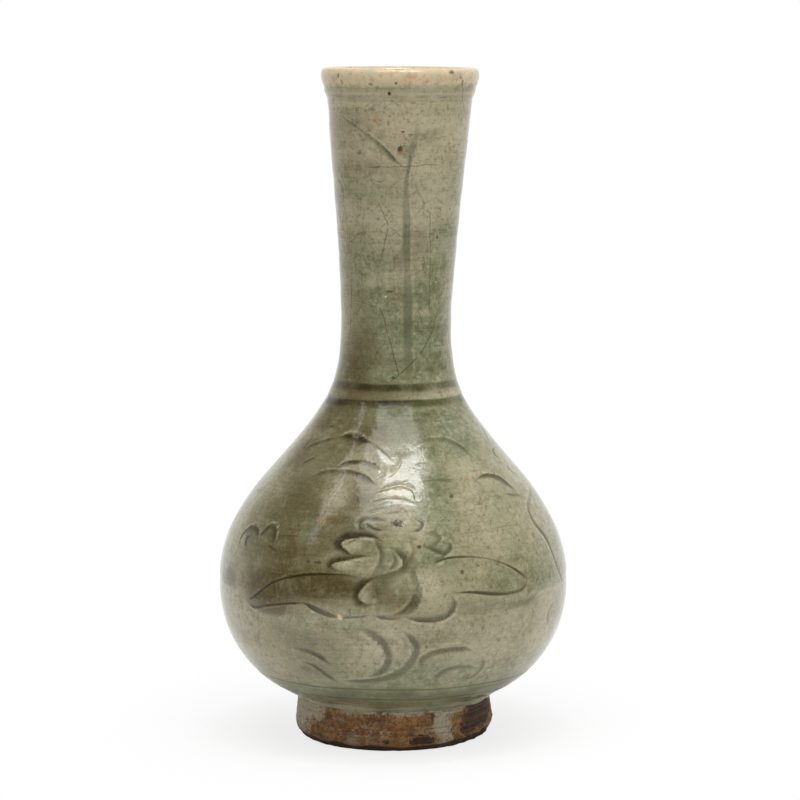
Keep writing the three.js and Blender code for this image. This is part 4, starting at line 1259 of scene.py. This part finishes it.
class VASE_OT_clay(bpy.types.Operator):
    """Give the clay sections and the slip at their joints a fired finish"""
    bl_idname = "vase.clay"
    bl_label = "Clay and slip"

    def execute(self, context):
        stoneware = clay_material("Fired stoneware", (0.37, 0.32, 0.26), 0.7)
        slip = clay_material("Fired slip", (0.48, 0.42, 0.34), 0.35)
        for node, material in (("lower_bowl", stoneware), ("upper_dome", stoneware), ("neck_tube", stoneware),
                               ("foot_slip", slip), ("belly_slip", slip), ("neck_slip", slip)):
            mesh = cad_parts[node].data
            mesh.materials.clear()
            mesh.materials.append(material)
        return {"FINISHED"}


def floor_material(stage):
    """White paper that keeps the vase's shadow: seen and mirrored, it goes to plain white further out."""
    material, b, out = new_material("Pale floor")
    diffuse = b.put("ShaderNodeBsdfDiffuse", {"Color": tuple(stage.floor) + (1,), "Roughness": 0.0})
    white = b.put("ShaderNodeEmission", {"Color": (1, 1, 1, 1), "Strength": 1.0})
    path = b.put("ShaderNodeLightPath").outputs
    away = b.length(b.place())
    share = b.math("MAXIMUM", b.math("MULTIPLY", path["Is Camera Ray"], b.ramp(away, 35.0, 200.0, 0.78, 1.0)),
                   b.math("MULTIPLY", path["Is Glossy Ray"], b.ramp(away, 60.0, 260.0)))
    mixed = b.put("ShaderNodeMixShader", {0: share, 1: diffuse.outputs[0], 2: white.outputs[0]})
    b.tree.links.new(mixed.outputs[0], out.inputs[0])
    return material


def softbox(name, target, azimuth, elevation, distance, width, height, radiance, shift=0.0, across=0.0,
            roll=0.0):
    """A rectangular lamp that faces the target from a direction, where azimuth 0 is the front."""
    lamp = bpy.data.lights.new(name, "AREA")
    lamp.shape, lamp.size, lamp.size_y = "RECTANGLE", width, height
    lamp.energy = radiance * math.pi * width * height
    a, e = math.radians(azimuth), math.radians(elevation)
    back = Vector((math.sin(a) * math.cos(e), -math.cos(a) * math.cos(e), math.sin(e)))
    turn = back.to_track_quat("Z", "Y") @ Quaternion((0, 0, 1), math.radians(roll))
    obj = bpy.data.objects.new(name, lamp)
    obj.location = Vector(target) + back * distance + turn @ Vector((across, shift, 0))
    obj.rotation_euler = turn.to_euler()
    bpy.context.scene.collection.objects.link(obj)
    return obj


class VASE_OT_stage(bpy.types.Operator):
    """Set the floor, the room, the lamps and the camera"""
    bl_idname = "vase.stage"
    bl_label = "Stage"

    def execute(self, context):
        stage, scene = context.scene.vase_stage, context.scene
        bm = bmesh.new()
        bmesh.ops.create_grid(bm, x_segments=8, y_segments=8, size=0.5)
        bmesh.ops.translate(bm, verts=bm.verts[:], vec=(0, 0.2, 0))
        mesh, _ = mesh_from(bm, "floor")
        floor = bpy.data.objects.new("floor", mesh)
        scene.collection.objects.link(floor)
        mesh.materials.append(floor_material(stage))

        softbox("key_softbox", STAGE_MIDDLE, 1.5, 55, 1.5, 1.17, 0.96, stage.key, shift=0.48)
        softbox("key_skirt", STAGE_MIDDLE, 0, 55, 1.5, 1.7, 0.2, stage.key * 0.25, shift=-0.1)
        softbox("key_core", STAGE_MIDDLE, 0, 55, 1.4, 0.62, 0.24, stage.core, shift=0.52, across=0.12)
        softbox("left_strip", STAGE_MIDDLE, -70, 49, 1.4, 0.075, 0.8, 2.9, roll=28)
        softbox("right_strip", STAGE_MIDDLE, 101, 48, 1.4, 0.06, 0.4, 1.5)

        world = bpy.data.worlds.new("Studio room")
        scene.world = world
        world.use_nodes = True
        world.node_tree.nodes.clear()
        b = Bench(world.node_tree)
        out = b.put("ShaderNodeOutputWorld")
        path = b.put("ShaderNodeLightPath").outputs
        way = b.put("ShaderNodeTexCoord").outputs["Generated"]
        right, toward, up = b.put("ShaderNodeSeparateXYZ", {0: way}).outputs
        room = b.ramp(toward, -0.25, 0.95, 0.1, 1.0)
        wall = b.math("MULTIPLY", b.ramp(right, -0.2, -0.6), b.ramp(up, 0.12, 0.5))
        room = b.math("MULTIPLY", room, b.math("SUBTRACT", 1.0, b.math("MULTIPLY", wall, 0.75)))
        glossy = b.math("MULTIPLY", path["Is Glossy Ray"], room)
        fill = b.math("MULTIPLY", b.math("SUBTRACT", 1.0, path["Is Glossy Ray"]),
                      b.ramp(right, -1.0, 1.0, 0.75 * stage.fill, 1.3 * stage.fill))
        strength = b.math("MAXIMUM", b.math("ADD", glossy, fill), path["Is Camera Ray"])
        shader = b.put("ShaderNodeBackground", {"Color": (1, 1, 1, 1), "Strength": strength})
        b.tree.links.new(shader.outputs[0], out.inputs[0])

        lens = bpy.data.cameras.new("camera")
        lens.lens, lens.sensor_width = CAMERA_LENS, CAMERA_SENSOR
        lens.clip_start, lens.clip_end = 0.05, 50.0
        camera = bpy.data.objects.new("camera", lens)
        camera.location = CAMERA_PLACE
        down, roll = math.radians(90 - CAMERA_DOWN), math.radians(CAMERA_ROLL)
        camera.rotation_euler = (Matrix.Rotation(down, 3, "X") @ Matrix.Rotation(roll, 3, "Z")).to_euler()
        scene.collection.objects.link(camera)
        scene.camera = camera
        scene.view_settings.view_transform = "Standard"
        return {"FINISHED"}


class VASE_PT_panel(bpy.types.Panel):
    """Sizes, colours and steps of the vase"""
    bl_idname = "VASE_PT_panel"
    bl_label = "Celadon vase"
    bl_space_type = "VIEW_3D"
    bl_region_type = "UI"
    bl_category = "Celadon vase"

    def draw(self, context):
        for settings in (context.scene.vase_sizes, context.scene.vase_colours, context.scene.vase_stage):
            for name in settings.bl_rna.properties.keys():
                if name not in ("rna_type", "name"):
                    self.layout.prop(settings, name)
        for step in STEPS:
            self.layout.operator(step.bl_idname)


STEPS = (VASE_OT_groups, VASE_OT_outer_coat, VASE_OT_inner_coat, VASE_OT_foot, VASE_OT_clay, VASE_OT_stage)
CLASSES = (VaseSizes, VaseColours, VaseStage, *STEPS, VASE_PT_panel)


def register():
    for made in CLASSES:
        bpy.utils.register_class(made)
    bpy.types.Scene.vase_sizes = PointerProperty(type=VaseSizes)
    bpy.types.Scene.vase_colours = PointerProperty(type=VaseColours)
    bpy.types.Scene.vase_stage = PointerProperty(type=VaseStage)


def unregister():
    del bpy.types.Scene.vase_sizes, bpy.types.Scene.vase_colours, bpy.types.Scene.vase_stage
    for made in reversed(CLASSES):
        bpy.utils.unregister_class(made)


def build_all():
    """Registers the add-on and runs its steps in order."""
    register()
    bpy.ops.vase.groups()
    bpy.ops.vase.outer_coat()
    bpy.ops.vase.inner_coat()
    bpy.ops.vase.foot()
    bpy.ops.vase.clay()
    bpy.ops.vase.stage()


if __name__ == "__main__":
    build_all()
